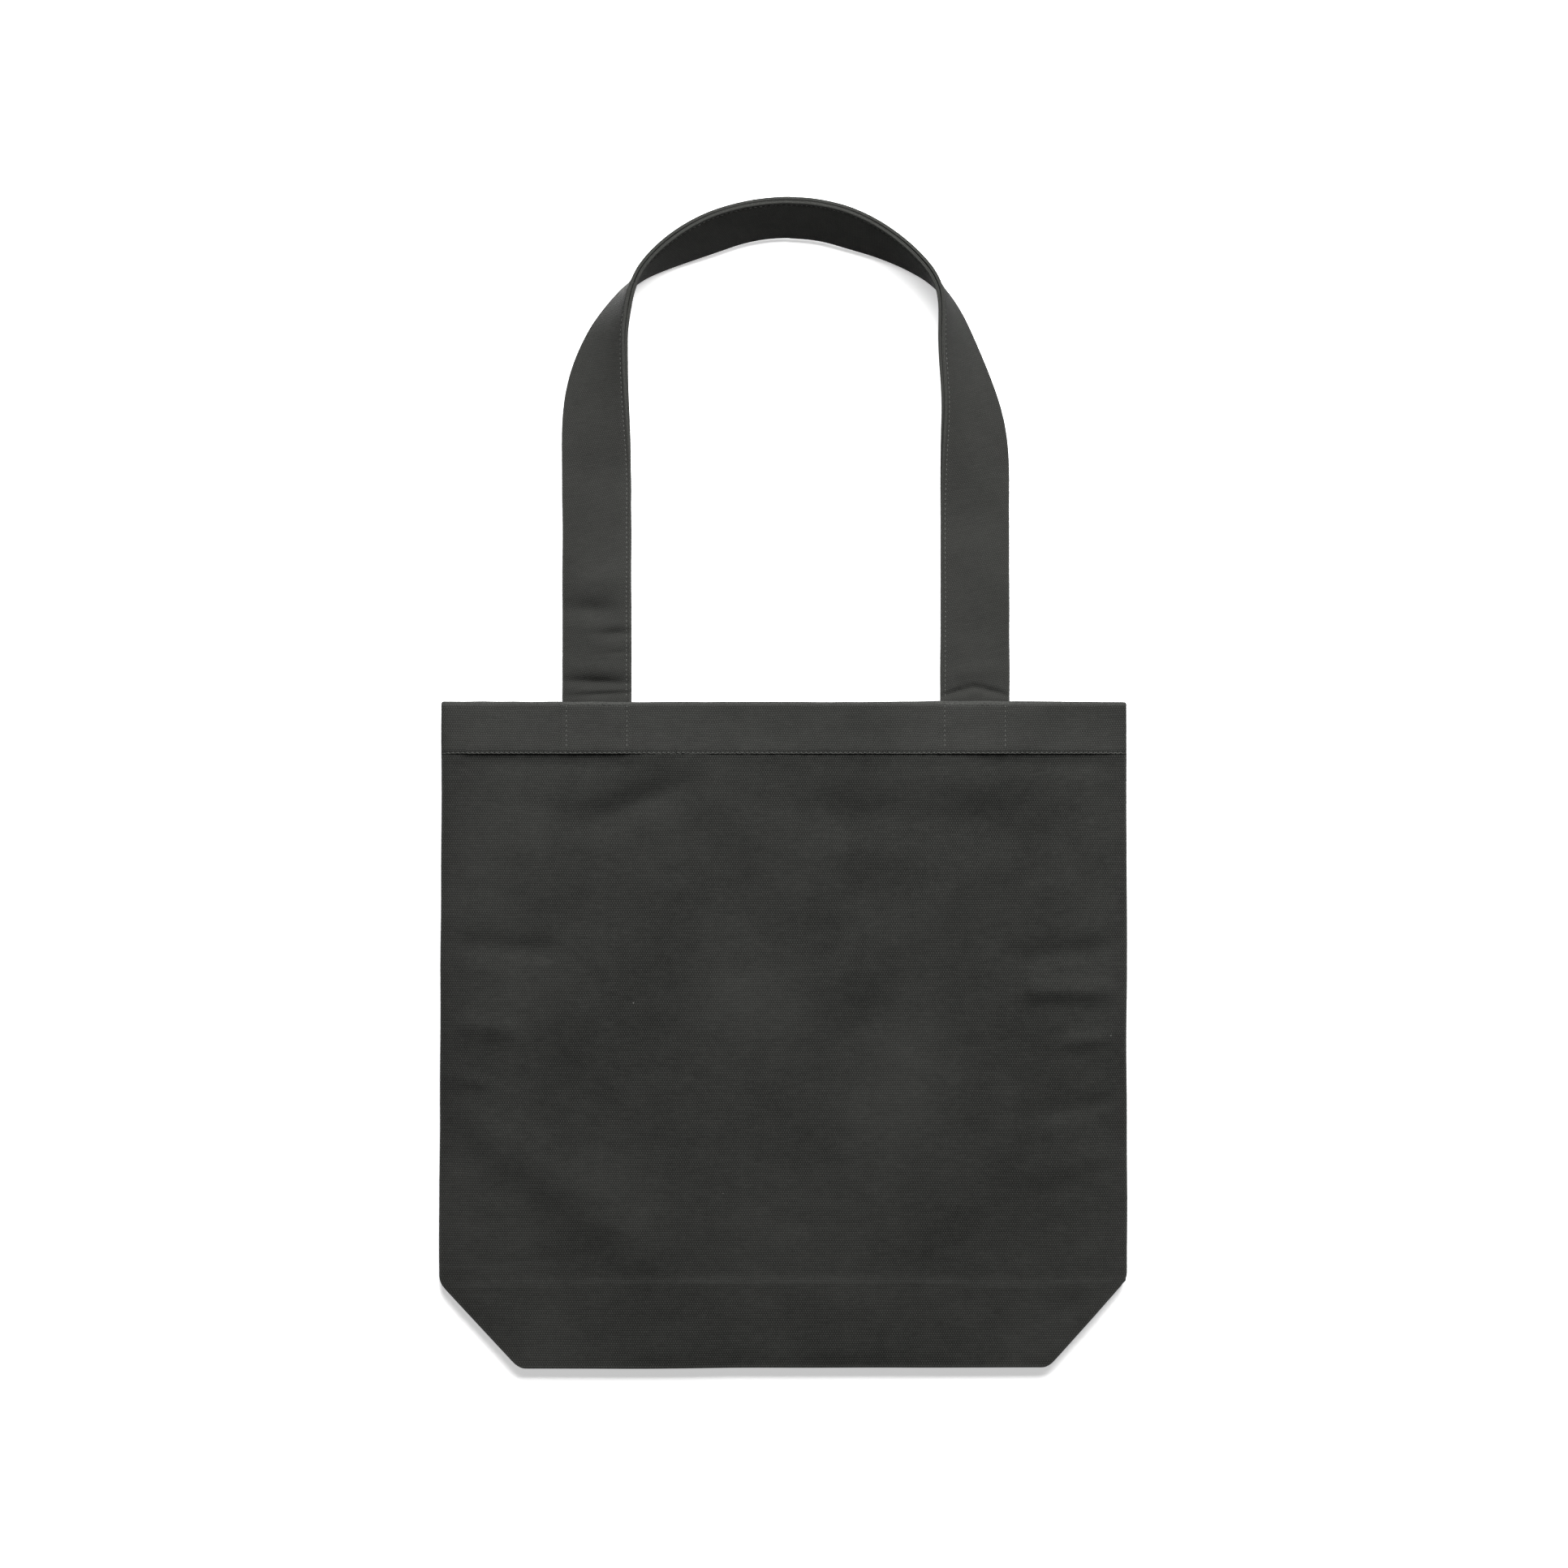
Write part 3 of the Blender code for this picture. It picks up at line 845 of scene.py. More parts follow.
def under_strap(x, z):
    """1 where a strap's sewn end lies behind the hem, and its outline's groove as a second number."""
    reach = STRAP_WIDTH / 2
    aside = abs(abs(x) - STRAP_MIDDLE)
    inside = smooth_step((reach + 0.0010 - aside) / 0.0020)
    groove = bump_at(aside - (reach - ANCHOR_INSET), GROOVE_REACH) * smooth_step((TOP - z) / 0.003)
    level = bump_at(TOP - z - ANCHOR_TOP_INSET, GROOVE_REACH) * smooth_step((reach - aside) / 0.002)
    return inside, max(groove, level)


def hem_stand(x, z, side):
    """Extra height of the hem's outer face over the body cloth's own."""
    foot = z - HEM_FOOT
    calm = pinned_middle(x)
    inside, groove = under_strap(x, z)
    row = bump_at(foot - HEM_STITCH_INSET, 0.0012) * (0.5 + 0.5 * pucker(x))
    gathers = 0.5 * sin(2 * pi * calm / GATHER_PITCH + 1.7 * wander(calm, 0.02, 31))
    gathers += 0.5 * wander(calm, 0.007, 32 + side)
    swell = smooth_step(foot / 0.01) * smooth_step((TOP - z) / 0.01)
    stand = HEM_PROUD + STRAP_LIFT * inside - ANCHOR_GROOVE * groove * (0.55 + 0.45 * pucker(z))
    stand -= ROW_GROOVE * row + HEM_THIN_FOOT * (1 - smooth_step(foot / 0.0024))
    stand += GATHER_HEIGHT * gathers * exp(-max(0.0, foot - 0.001) / 0.006)
    stand += HEM_ROLL * (1 - smooth_step((foot - 0.001) / 0.013)) * smooth_step((HALF_WIDTH - abs(x)) / 0.02)
    return stand + HEM_SWELL * wander(calm, 0.035, 33 + side) * swell


def hem_section(x, side):
    """The turned hem's outline at x, as (stand, height), from its foot outwards, over its top and inside."""
    reach = half_width(TOP - CORNER_BELOW_TOP, hand_of(x))
    top = TOP + HEM_TOP_LIFT + top_drift(x) - rolled(reach - abs(x), HEM_CORNER)
    inner = -CLOTH
    section = [(inner + 0.0004, HEM_FOOT + 0.0003), (-0.0003, HEM_FOOT), (0.0001, HEM_FOOT + 0.00005)]
    section += [(0.40 * HEM_PROUD, HEM_FOOT + 0.0002)]
    section += [(hem_stand(x, HEM_FOOT + rise, side), HEM_FOOT + rise) for rise in HEM_ROWS]
    outer = section[-1][0]
    middle = (outer + inner) / 2
    radius = (outer - inner) / 2
    for step in range(HEM_TURN_STEPS + 1):
        angle = pi * step / HEM_TURN_STEPS
        section.append((middle + radius * cos(angle), top - radius + radius * sin(angle)))
    return section + [(inner, HEM_FOOT + rise) for rise in reversed(HEM_ROWS[::2])]


def hem_base(x, z, side):
    """How far the cloth under the hem stands from the bag's middle plane: the sewing calms its folds."""
    return shell_depth(x, z) + relief(pinned_middle(x), z, side) * HEM_RELIEF_SHARE


def hem_ring(across, side):
    """The knots around the hem's outline, at a place across the bag."""
    reach = half_width(TOP - CORNER_BELOW_TOP, hand_of(across))
    x = across * reach / HALF_WIDTH
    turn = rolled(reach - abs(x), HEM_CORNER / 2)
    section = hem_section(x, side)
    ring = []
    for (stand, z), along in zip(section, lengths_along(section)):
        # Painted highlight along the hem's top fold and along the lip at its foot
        top_fold_highlight = bump_at(max(0.0, TOP - 0.0008 - z), 0.0012)
        foot_lip_highlight = 0.6 * bump_at(z - HEM_FOOT, 0.0009) * (stand > 0.0001)
        at = Vector((x, side * (hem_base(x, z, side) + stand - turn), z))
        ring.append(Knot(at, (x, HEM_FOOT + along), max(top_fold_highlight, foot_lip_highlight)))
    return ring + [Knot(ring[0].at, (x, ring[-1].weave[1] + 0.002))]


def hem_fold(name, side, hands):
    """The top edge turned in and sewn down: a soft double band, drawn in along its stitches."""
    rings = [hem_ring(across, side) for across in across_bag(HEM_STEP, EDGE_STEPS[:7], hands)]
    return cloth_mesh(name, rings, HEM_CANVAS, around=True)


def hem_stitches(name, side, hands):
    """The row along the hem's foot, on the outside and the inside of the bag."""
    z = HEM_FOOT + HEM_STITCH_INSET
    run = Vector((1, 0, 0))
    out = Vector((0, side, 0))
    count = int(HALF_WIDTH / STITCH_PITCH)
    places = []
    for number in range(-count, count + 1):
        x = (number + 0.5) * STITCH_PITCH
        if abs(x) > HALF_WIDTH - ROW_END or hand_of(x) not in hands:
            continue
        stand = hem_base(x, z, side)
        outer = stand + hem_stand(x, z, side) + THREAD_OUTSIDE
        inner = stand - CLOTH - THREAD_INSIDE
        places.append(Stitch(Vector((x, side * outer, z)), run, out, 1.0))
        places.append(Stitch(Vector((x, side * inner, z)), run, -out, 1.0))
    return stitches(name, places)


def anchor_stitches(name, side, hand):
    """The row that holds a strap's end: up one edge, across under the top edge, and down the other."""
    reach = STRAP_WIDTH / 2 - ANCHOR_INSET
    low = HEM_FOOT + HEM_STITCH_INSET + STITCH_PITCH
    high = TOP - ANCHOR_TOP_INSET
    middle = hand * STRAP_MIDDLE + STRAP_SHIFT
    corners = ((-reach, low), (-reach, high), (reach, high), (reach, low))
    route = [Vector((middle + across, 0, z)) for across, z in corners]
    inner = STRAP_PLANE - STRAP_THICKNESS / 2 - THREAD_INSIDE
    out = Vector((0, side, 0))
    places = []
    for start, end in zip(route, route[1:]):
        run = end - start
        count = round(run.length / STITCH_PITCH)
        for number in range(count):
            at = start + run * (number + 0.5) / count
            outer = hem_base(at.x, at.z, side) + hem_stand(at.x, at.z, side) + THREAD_OUTSIDE
            places.append(Stitch(at + out * outer, run, out, ANCHOR_STRETCH))
            places.append(Stitch(at + out * inner, run, -out, ANCHOR_STRETCH))
    return stitches(name, places)


# The straps ------------------------------------------------

# Creases across the straps just above the bag: hand, height, slant, width, depth, middle, reach
STRAP_CREASES = (
    Crease(LEFT, 0.0045, 0.05, 0.0014, 0.0009, 0.004, 0.018),
    Crease(LEFT, 0.0120, -0.03, 0.0024, 0.0015, 0.000, 0.018),
    Crease(LEFT, 0.0205, -0.05, 0.0036, -0.0006, 0.000, 0.020),
    Crease(LEFT, 0.0290, 0.08, 0.0016, 0.0004, 0.012, 0.008),
    Crease(LEFT, 0.0410, 0.06, 0.0026, 0.0012, 0.010, 0.011),
    Crease(LEFT, 0.0560, -0.02, 0.0050, 0.0017, -0.004, 0.016),
    Crease(LEFT, 0.0740, 0.12, 0.0070, -0.0008, 0.002, 0.018),
    Crease(LEFT, 0.1400, 0.10, 0.0100, 0.0008, 0.002, 0.018),
    Crease(RIGHT, 0.0095, 0.30, 0.0015, 0.0012, -0.009, 0.009),
    Crease(RIGHT, 0.0095, -0.30, 0.0015, 0.0012, 0.009, 0.009),
    Crease(RIGHT, 0.0190, -0.12, 0.0040, -0.0005, 0.000, 0.018),
    Crease(RIGHT, 0.0450, 0.12, 0.0070, 0.0004, -0.006, 0.016),
    Crease(RIGHT, 0.1120, -0.10, 0.0090, 0.0006, 0.002, 0.018),
)

# How far to the right of an even hang: at the foot, in a bow, above the bow, and beside the arch
STRAP_SWAYS = {
    LEFT: Sway(0.0010, -0.0018, bow_at=0.195, bow_reach=0.035, late=0.0010, late_from=0.225, crown=0.0024),
    RIGHT: Sway(0.0013, -0.0046, bow_at=0.222, bow_reach=0.034, late=-0.0015, late_from=0.250, crown=-0.0012),
}
ARCH_SWAY = 0.0030

# Half of an outline across the strap's width, as shares of it
ACROSS_SHARES = (-0.992, -0.972, -0.94, -0.88, -0.78, -0.62, -0.42, -0.2, 0.02, 0.24, 0.44, 0.6, 0.72, 0.80)
ACROSS_SHARES += (0.835, 0.866, 0.9, 0.94, 0.968, 0.988)


def half_path():
    """The strap's middle line from the left end under the hem to the top of the arch."""
    foot_x = -STRAP_MIDDLE
    bend = Vector((foot_x, 0, LEG_STRAIGHT))
    shoulder = Vector((foot_x + SHOULDER_INSET, 0, HANDLE_RISE - SHOULDER_DROP))
    top = Vector((0, 0, HANDLE_RISE))
    lean = Vector((cos(SHOULDER_SLOPE), 0, sin(SHOULDER_SLOPE)))
    leave_bend = bend + Vector((0, 0, (shoulder.z - bend.z) * BEND_PULL))
    reach_shoulder = shoulder - lean * SHOULDER_INSET
    leave_shoulder = shoulder + lean * SHOULDER_DROP * SHOULDER_PULL
    reach_top = Vector((shoulder.x / 2, 0, HANDLE_RISE))
    low = -HEM_DEPTH + 0.0004
    count = round((LEG_STRAIGHT - low) / STRAP_STEP)
    straight = [Vector((foot_x, 0, blend_between(low, LEG_STRAIGHT, step / count))) for step in range(count)]
    up = interpolate_bezier(bend, leave_bend, reach_shoulder, shoulder, BEND_POINTS)
    over = interpolate_bezier(shoulder, leave_shoulder, reach_top, top, ARCH_POINTS)
    return straight + up[:-1] + over


def twist_lead(length, hand):
    """The right shoulder starts to turn over sooner than the left one, and both finish over the arch."""
    if hand == LEFT:
        return 0.010 - 0.004 * smooth_step((length - 0.050) / 0.080)
    soon = 0.030 - 0.0175 * smooth_step((length - 0.030) / 0.080)
    return soon - 0.0155 * smooth_step((length - 0.100) / 0.070)


def half_stations(hand):
    """Stations up to the top of the arch, all on the left side."""
    path = half_path()
    half = []
    length = -LEG_STRAIGHT - HEM_DEPTH
    for index, place in enumerate(path):
        if index:
            length += (place - path[index - 1]).length
        before, after = path[max(index - 1, 0)], path[min(index + 1, len(path) - 1)]
        along = (after - before).normalized()
        if index == len(path) - 1:
            along = Vector((1, 0, 0))
        inward = Vector((along.z, 0, -along.x))
        angle = TWIST * smooth_step((length + twist_lead(length, hand)) / TWIST_LENGTH)
        width = inward * cos(angle) + Vector((0, FRONT, 0)) * sin(angle)
        normal = along.cross(width)
        closing = smooth_step((place.z - CONVERGE_START) / (CONVERGE_END - CONVERGE_START))
        spread = blend_between(STRAP_PLANE, NEST_OFFSET, closing)
        half.append((place + Vector((0, 0, TOP)), width, normal, spread, length))
    return half


def strap_stations():
    """Stations from the left end over the arch to the right end."""
    left, right = half_stations(LEFT), half_stations(RIGHT)
    top = left[-1][-1]
    flip = Matrix.Scale(-1, 3, (1, 0, 0))
    stations = [Station(*one, LEFT, top - one[-1]) for one in left]
    for place, width, normal, spread, length in right[-2::-1]:
        turned = (flip @ place, flip @ width, flip @ normal)
        stations.append(Station(*turned, spread, 2 * top - length, RIGHT, top - length))
    return stations


def strap_lean(station):
    """The straps don't hang quite evenly: how far to the right of an even hang they are."""
    rise = station.place.z - TOP
    sway = STRAP_SWAYS[station.hand]
    lean = sway.foot + sway.bow * bump_at(rise - sway.bow_at, sway.bow_reach)
    lean += sway.late * smooth_step((rise - sway.late_from) / 0.020)
    lean += sway.crown * bump_at(station.from_top - 0.055, 0.030)
    return blend_between(lean, ARCH_SWAY, smooth_step(1 - station.from_top / 0.050))


def crease_depth(station, across):
    """How far the creases and a slow ripple push the strap along its normal."""
    rise = station.place.z - TOP
    depth = 0.0
    for crease in STRAP_CREASES:
        if crease.hand == station.hand:
            away = rise - crease.above - crease.tilt * across
            fade = bump_at(across - crease.middle, crease.reach)
            depth += CREASE_STRENGTH * crease.depth * bump_at(away, CREASE_SPREAD * crease.width) * fade
    slow = noise.noise(Vector((station.length / 0.05, station.hand * 2.0, across / 0.03)))
    return (depth + STRAP_RIPPLE * slow) * smooth_step(rise / 0.003)


def strap_place(station, side, across, through):
    """A point of a strap: across its width, and through its thickness from its middle."""
    rise = station.place.z - TOP
    drift = STRAP_EDGE_DRIFT * wander(station.length, 0.03, 41 + side + (across > 0))
    wide = across + drift * smooth_step(rise / 0.01) * (1 if across > 0 else -1)
    deep = station.spread * side + crease_depth(station, across) * 0.9 + through
    return station.place + station.normal * deep + station.width * wide + Vector((strap_lean(station), 0, 0))


def strap_thickness(across, length):
    """Half the strap's thickness: round at its edges, drawn in along its topstitch, fuller between."""
    reach = STRAP_WIDTH / 2
    thick = STRAP_THICKNESS / 2 * (0.86 + 0.14 * cos(across / reach * pi / 2))
    groove = TOPSTITCH_GROOVE * bump_at(across - reach + STRAP_STITCH_INSET, 0.0008)
    thick -= groove * (0.65 + 0.35 * pucker(length))
    return thick + LIP_SWELL * bump_at(across - reach + EDGE_ROUND, 0.0009)


def strap_outline(length):
    """The strap's outline as (across, through): a flat folded tube, open along its sewn edge."""
    reach = STRAP_WIDTH / 2
    face = []
    for share in ACROSS_SHARES:
        across = share * reach
        thick = strap_thickness(across, length)
        edge = (reach - abs(across)) / EDGE_ROUND
        if edge < 1:
            thick *= sqrt(max(0.0, 1 - (1 - edge) ** 2)) * 0.55 + 0.45
        face.append((across, thick))
    lips = [(reach, LIP_GAP), (reach - 0.00035, 0.0), (reach, -LIP_GAP)]
    return [(-reach, 0.0)] + face + lips + [(across, -thick) for across, thick in reversed(face)]


def strap_row(station, side):
    """The knots around the strap at one station."""
    outline = strap_outline(station.length)
    row = []
    for (across, through), around in zip(outline, lengths_along(outline)):
        at = strap_place(station, side, across, through)
        # Painted highlight along the strap's folded edges
        row.append(Knot(at, (around, station.length), bump_at(STRAP_WIDTH / 2 - abs(across), 0.0007)))
    return row + [Knot(row[0].at, (row[-1].weave[0] + 0.001, station.length))]


def strap_cloth(name, side, stations):
    return cloth_mesh(name, [strap_row(station, side) for station in stations], STRAP_CANVAS, around=True)


def strap_topstitch(name, side, stations):
    """The topstitch that closes the folded strap, showing on both of its faces."""
    across = STRAP_WIDTH / 2 - STRAP_STITCH_INSET
    places = []
    target = stations[0].length + STITCH_PITCH
    for before, after in zip(stations, stations[1:]):
        while before.length <= target < after.length:
            share = (target - before.length) / (after.length - before.length)
            for face in (-1, 1):
                lift = face * (strap_thickness(across, target + STITCH_PITCH / 2) + THREAD_INSIDE)
                first = strap_place(before, side, across, lift)
                second = strap_place(after, side, across, lift)
                out = before.normal.lerp(after.normal, share) * face
                places.append(Stitch(first.lerp(second, share), second - first, out, TOPSTITCH_STRETCH))
            target += STITCH_PITCH
    return stitches(name, [place for place in places if place.at.z > TOP + 0.004])


# Inside and underneath -------------------------------------


def foot_height(x):
    """Where the bag's lower fold is at x: level along the base, rising along the cut-off corners."""
    rise, inset = CHAMFER_LEFT if x < 0 else CHAMFER_RIGHT
    past = max(0.0, abs(x) - (HALF_WIDTH - inset))
    return BOTTOM + min(past * rise / inset, rise) + foot_drift(x) * (1 - smooth_step(past / 0.03))


def tucked_profile(x, lift=0.0, steps=13):
    """The cloth folded up between the two faces at x, from its front foot over the ridge to its back foot."""
    foot = foot_height(x) + 0.0007
    ridge = BOTTOM + TUCK_RISE - 0.0015 + 0.0006 * wander(x, 0.04, 51) + lift
    ridge = max(ridge, foot + 0.0012)
    spread = max(0.0004, shell_depth(x, foot) - CLOTH - 0.0005 - lift * 0.2)
    profile = []
    for step in range(-steps, steps + 1):
        share = abs(step) / steps
        open_to = spread * (0.16 + 0.84 * share**0.8) if step else 0.0
        height = ridge - (ridge - foot) * (share**1.25 if share else 0.0)
        ripple = 0.0004 * noise.noise(Vector((x / 0.03, share * 3, 4.0 + (step > 0)))) * sin(pi * share)
        profile.append((open_to * (1 if step > 0 else -1) + ripple, height))
    return profile


def tucked_cloth(name, start, end):
    """The cloth of the base or of one lower corner, folded up between the two faces from start to end."""
    count = max(10, round(abs(end - start) / 0.0032))
    rows = []
    for step in range(count + 1):
        x = blend_between(start, end, step / count)
        profile = tucked_profile(x)
        places = zip(profile, lengths_along(profile))
        rows.append([Knot(Vector((x, y, z)), (x, along)) for (y, z), along in places])
    return thicken(cloth_mesh(name, rows, BODY_CANVAS, flip=end > start), CLOTH)


def binding_root(z, hand):
    """From the middle of the bag to where the binding of a side seam leaves the side."""
    return half_width(z, hand) - CLOTH - 0.0006


def binding_sway(z, hand):
    return BINDING_SWAY * wander(z, 0.03, 63 + hand)


def side_binding(name, hand):
    """The two sewn edges of a side seam, overlocked together, standing in from the side."""
    low = BOTTOM + CHAMFER_RIGHT[0] + 0.002
    high = TOP - 0.0015
    count = round((high - low) / 0.004)
    rows = []
    for step in range(count + 1):
        z = blend_between(low, high, step / count)
        wide = BINDING_WIDTH * (1 + 0.05 * wander(z, 0.01, 61 + hand))
        row = []
        for part in range(BINDING_STEPS + 1):
            share = part / BINDING_STEPS
            x = hand * (binding_root(z, hand) - wide * share)
            y = binding_sway(z, hand) * share**2 + BINDING_THICKNESS / 2
            row.append(Knot(Vector((x, y, z)), (wide * share, z), 0.8 if share == 1 else 0.0))
        rows.append(row)
    return thicken(cloth_mesh(name, rows, INSIDE_CANVAS, flip=hand == RIGHT), BINDING_THICKNESS)


def side_overlock(name, hand):
    """Threads wrapped over the binding's free edge, one after another."""
    low = BOTTOM + CHAMFER_RIGHT[0] + 0.004
    places = []
    for number in range(int((TOP - 0.003 - low) / OVERLOCK_PITCH)):
        z = low + number * OVERLOCK_PITCH
        x = hand * (binding_root(z, hand) - BINDING_WIDTH + 0.0024)
        for face in (-1, 1):
            y = binding_sway(z, hand) * 0.6 + face * (BINDING_THICKNESS / 2 + 0.0001)
            run = Vector((hand, 0, 0.25 * face))
            places.append(Stitch(Vector((x, y, z)), run, Vector((0, face, 0)), OVERLOCK_STRETCH))
    return stitches(name, places)


def corner_binding(name, hand):
    """The sewn edges of a boxed corner, lying over the tucked base's ridge inside the bag."""
    rows = []
    for step in range(BINDING_STEPS + 1):
        inward = CORNER_BINDING_WIDTH * step / BINDING_STEPS
        x = hand * (BASE_HALF - 0.0006 - inward)
        profile = [(y, z) for y, z in tucked_profile(x, RIDGE_LIFT) if z > BOTTOM + BINDING_FOOT]
        places = zip(profile, lengths_along(profile))
        rows.append([Knot(Vector((x, y * 0.72, z)), (inward, along)) for (y, z), along in places])
    shortest = min(len(row) for row in rows)
    obj = cloth_mesh(name, [row[:shortest] for row in rows], INSIDE_CANVAS, flip=hand == LEFT)
    return thicken(obj, CORNER_BINDING_THICKNESS)


# Putting the bag together ----------------------------------


def follow_mouth(obj):
    """Bakes the piece's placement into its mesh; it is attached to no body."""
    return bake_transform(obj)


def build_face(side, hands):
    """A face of the bag, or one half of it: its cloth, its hem and the hem's stitches."""
    face = "front" if side == FRONT else "back"
    half = "" if len(hands) > 1 else "_" + HAND_WORDS[hands[0]]
    cloth = body_cloth(f"{face}_cloth{half}", side, hands)
    hem = hem_fold(f"{face}_hem_fold{half}", side, hands)
    thread = hem_stitches(f"{face}_hem_stitches{half}", side, hands)
    for obj, node in ((cloth, "panel"), (hem, "hem"), (thread, "hem_stitching")):
        if side == FRONT:
            follow_mouth(obj)
        else:
            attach(obj, "bag_back")
        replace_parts(obj, f"{face}_{node}")


def build_straps():
    stations = strap_stations()
    for word, side, holder in (("front", FRONT, "bag_front"), ("rear", BACK, "bag_back")):
        cloth = strap_cloth(f"{word}_strap", side, stations)
        thread = strap_topstitch(f"{word}_strap_topstitch", side, stations)
        ends = [f"{word}_handle_{edge}_end" for edge in HAND_WORDS.values()]
        for obj in (cloth, thread):
            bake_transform(obj)
        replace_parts(cloth, f"{word}_handle", *ends)
        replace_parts(thread, f"{word}_handle_stitching")
        for hand, edge in HAND_WORDS.items():
            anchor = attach(anchor_stitches(f"{word}_{edge}_anchor_stitches", side, hand), holder)
            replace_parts(anchor, f"{word}_handle_{edge}_anchor_stitching")


def build_corner_fold(word, hand):
    fold = tucked_cloth(f"{word}_corner_fold", hand * BASE_HALF, hand * (HALF_WIDTH - FOLD_INSET))
    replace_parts(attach(fold, "bag_back"), f"{word}_corner_gusset")


def build_side_seam(word, hand):
    seam = side_binding(f"{word}_side_binding", hand)
    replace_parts(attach(seam, "bag_back"), f"{word}_side_seam")
    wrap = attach(side_overlock(f"{word}_side_overlock", hand), "bag_back")


def build_corner_seam(word, hand):
    seam = corner_binding(f"{word}_corner_binding", hand)
    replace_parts(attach(seam, "bag_back"), f"{word}_corner_seam")


def build_inside():
    base = tucked_cloth("tucked_base", -BASE_HALF, BASE_HALF)
    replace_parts(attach(base, "bag_back"), "base_panel")
    for hand, word in HAND_WORDS.items():
        build_corner_fold(word, hand)
        build_side_seam(word, hand)
        build_corner_seam(word, hand)


# Studio ----------------------------------------------------

WALL_BEHIND_FOOT = 0.0070
WALL_BEHIND_BAG = 0.0150
WALL_BEHIND_ARCH = 0.0235
ARCH_ABOVE = 0.12
FLOOR_DROP = 0.140
STUDIO_REACH = 1.8
CAMERA_DISTANCE = 4.0
CAMERA_LENS = 150.0
SENSOR = 36.0
VIEW_DROP = 0.0501
ROOM_GLOW = 0.05
WALL_GLOW = 0.50
STUDIO_BOUNCE = 0.06
FLOOR_SHADE = 0.12
WALL_SHADE = 0.90
KEY_PLACE = (0.25, -1.95, 1.10)
KEY_SIZE = 1.5
KEY_POWER = 150.0
REAR_PLACE = (-0.5, 2.2, 0.9)
REAR_SIZE = 1.4
REAR_POWER = 75.0
LIT_MIDDLE = (0, 0, -0.36)


def studio_material(name, shade, glow):
    """Matt board that hides nothing from behind and throws no shadow of its own."""
    material, tree, shader = new_material(name)
    grain = cloud_node(tree, object_place(tree), 400.0, 2.0)
    darker, lighter = (shade,) * 3, (shade * 1.03,) * 3
    bounced = tree.nodes.new("ShaderNodeLightPath").outputs["Is Diffuse Ray"]
    board = colour_mix(tree, grain, darker, lighter)
    tree.links.new(colour_mix(tree, bounced, board, (STUDIO_BOUNCE,) * 3), shader.inputs["Base Color"])
    shader.inputs["Roughness"].default_value = 1.0
    shader.inputs["Specular IOR Level"].default_value = 0.0
    shader.inputs["Emission Color"].default_value = (1.0, 1.0, 1.0, 1.0)
    tree.links.new(range_node(tree, bounced, 0.0, 1.0, glow, 0.0), shader.inputs["Emission Strength"])
    clear = tree.nodes.new("ShaderNodeBsdfTransparent")
    behind = tree.nodes.new("ShaderNodeNewGeometry").outputs["Backfacing"]
    shadow = tree.nodes.new("ShaderNodeLightPath").outputs["Is Shadow Ray"]
    blend = tree.nodes.new("ShaderNodeMixShader")
    tree.links.new(sum_node(tree, "MAXIMUM", behind, shadow), blend.inputs[0])
    tree.links.new(shader.outputs[0], blend.inputs[1])
    tree.links.new(clear.outputs[0], blend.inputs[2])
    tree.links.new(blend.outputs[0], tree.nodes["Material Output"].inputs["Surface"])
    return material


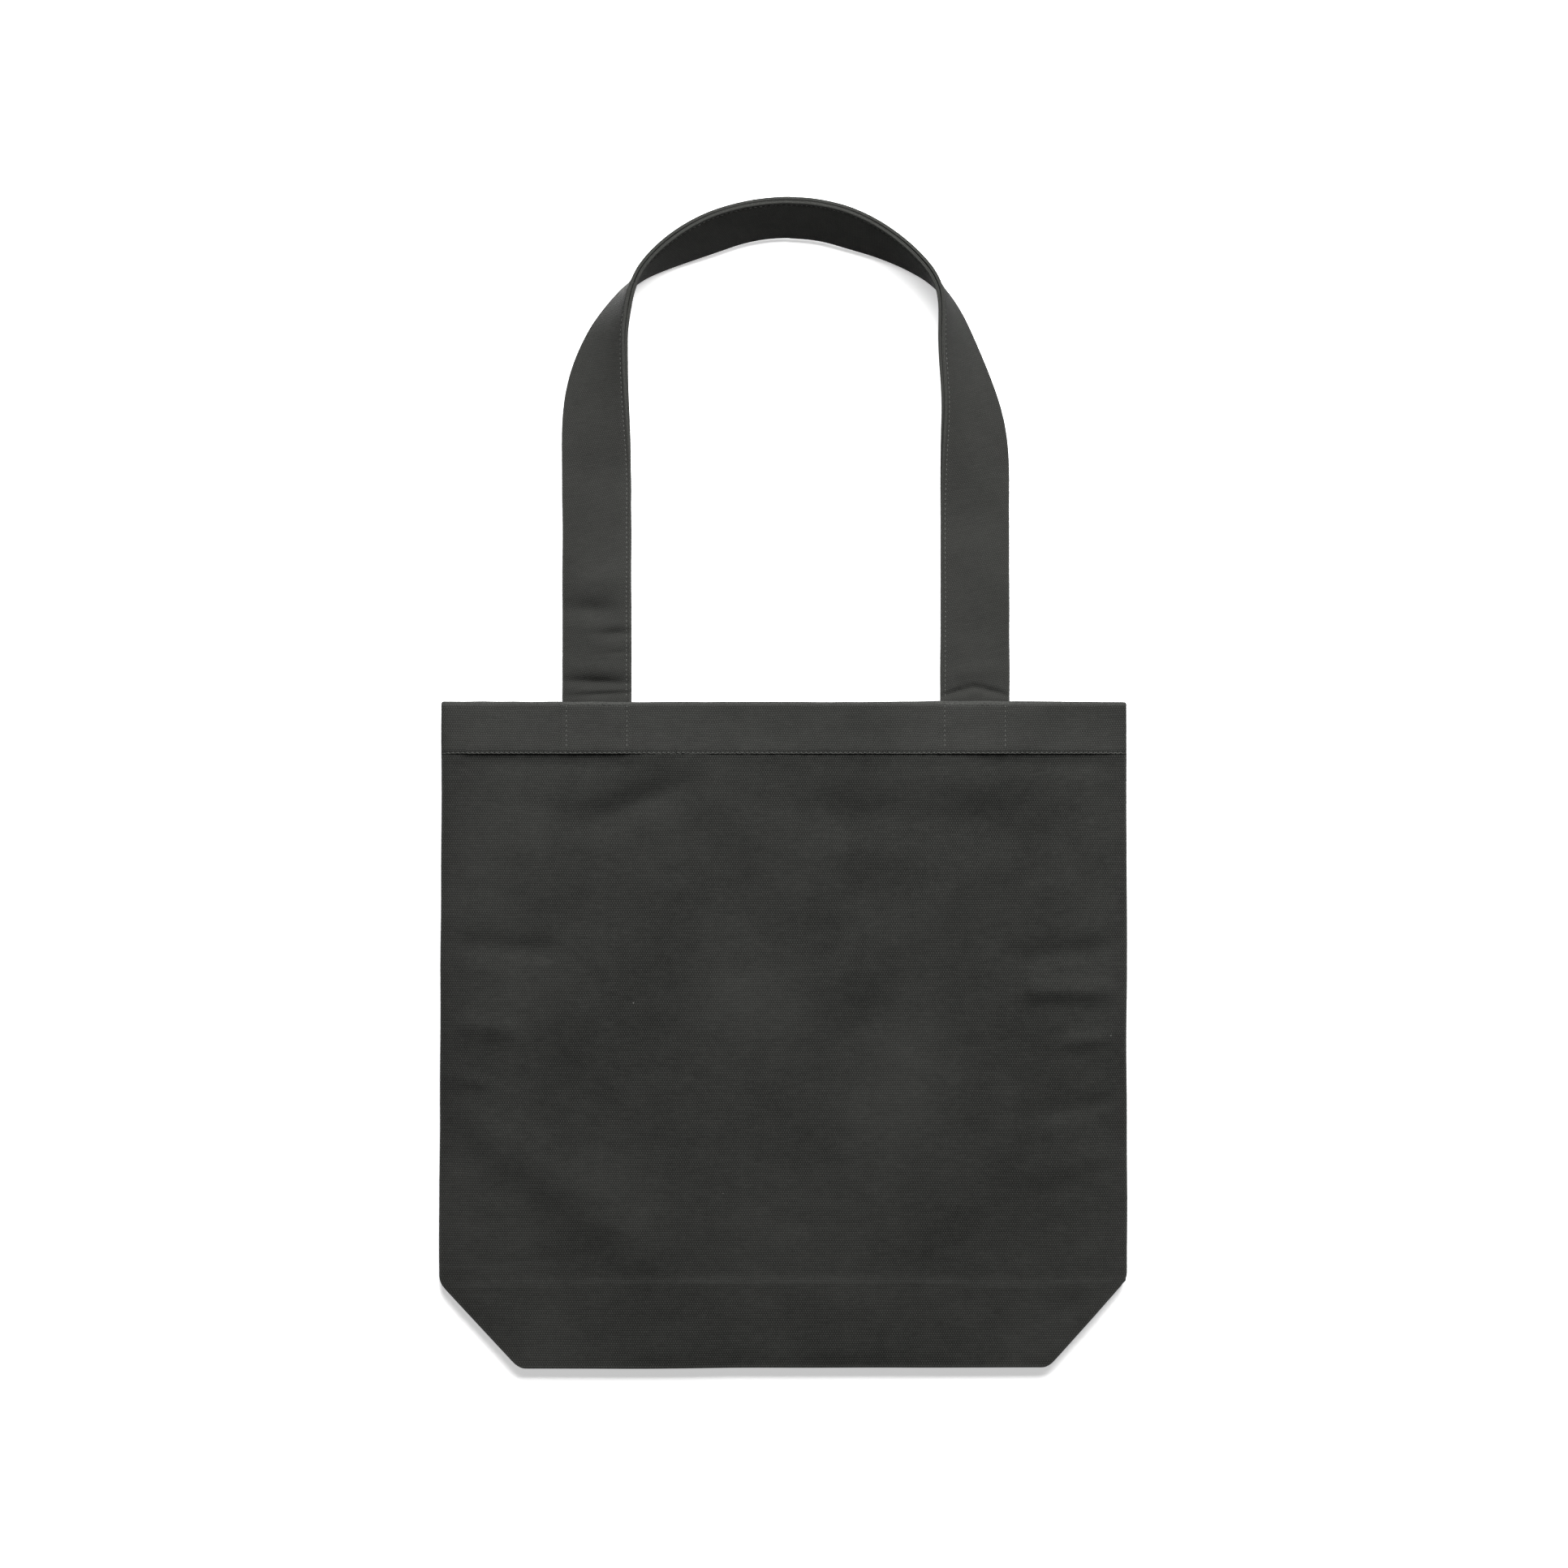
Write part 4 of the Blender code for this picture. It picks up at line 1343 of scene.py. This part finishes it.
def build_studio():
    bpy.ops.object.select_all(action="DESELECT")
    bpy.ops.mesh.primitive_plane_add(size=2 * STUDIO_REACH, location=(0, 0, BOTTOM - FLOOR_DROP))
    floor = bpy.context.object
    floor.name = "studio_floor"
    bpy.ops.object.select_all(action="DESELECT")
    bpy.ops.mesh.primitive_grid_add(
        x_subdivisions=2,
        y_subdivisions=240,
        size=2 * STUDIO_REACH,
        location=(0, 0, BOTTOM - FLOOR_DROP + STUDIO_REACH),
        rotation=(radians(90), 0, 0),
    )
    wall = bpy.context.object
    wall.name = "studio_wall"
    for obj, name, shade, glow in (
        (floor, "grey studio floor", FLOOR_SHADE, 0.0),
        (wall, "white studio board", WALL_SHADE, WALL_GLOW),
    ):
        pick(obj)
        bpy.ops.object.transform_apply(location=True, rotation=True, scale=True)
        obj.data.materials.append(studio_material(name, shade, glow))
    for vert in wall.data.vertices:
        behind_arch = smooth_step((vert.co.z - TOP - ARCH_ABOVE) / ARCH_ABOVE)
        behind_bag = smooth_step((vert.co.z - BOTTOM - 0.01) / 0.15)
        below_arch = blend_between(WALL_BEHIND_FOOT, WALL_BEHIND_BAG, behind_bag)
        vert.co.y = blend_between(below_arch, WALL_BEHIND_ARCH, behind_arch)
    wall.data.shade_smooth()


def soft_light(name, place, size, power):
    """A square softbox that looks at the middle of the bag."""
    data = bpy.data.lights.new(name, "AREA")
    data.shape = "SQUARE"
    data.size = size
    data.energy = power
    obj = bpy.data.objects.new(name, data)
    obj.location = place
    obj.rotation_euler = (Vector(LIT_MIDDLE) - Vector(place)).to_track_quat("-Z", "Y").to_euler()
    bpy.context.scene.collection.objects.link(obj)


def light_studio():
    world = bpy.data.worlds.new("pale room")
    world.use_nodes = True
    tree = world.node_tree
    seen = tree.nodes.new("ShaderNodeLightPath").outputs["Is Camera Ray"]
    background = tree.nodes["Background"]
    background.inputs["Color"].default_value = (1.0, 1.0, 1.0, 1.0)
    tree.links.new(range_node(tree, seen, 0.0, 1.0, ROOM_GLOW, 1.0), background.inputs["Strength"])
    bpy.context.scene.world = world
    soft_light("front_softbox", KEY_PLACE, KEY_SIZE, KEY_POWER)
    soft_light("rear_softbox", REAR_PLACE, REAR_SIZE, REAR_POWER)


def place_camera():
    data = bpy.data.cameras.new("front_camera")
    data.lens = CAMERA_LENS
    data.sensor_width = SENSOR
    obj = bpy.data.objects.new("front_camera", data)
    obj.location = (0, -CAMERA_DISTANCE, TOP - VIEW_DROP)
    obj.rotation_euler = (radians(90), 0, 0)
    bpy.context.scene.collection.objects.link(obj)
    bpy.context.scene.camera = obj


build_straps()
build_face(BACK, (LEFT, RIGHT))
build_face(FRONT, (LEFT,))
build_face(FRONT, (RIGHT,))
build_inside()
build_studio()
light_studio()
place_camera()
bpy.context.scene.view_settings.view_transform = "Standard"
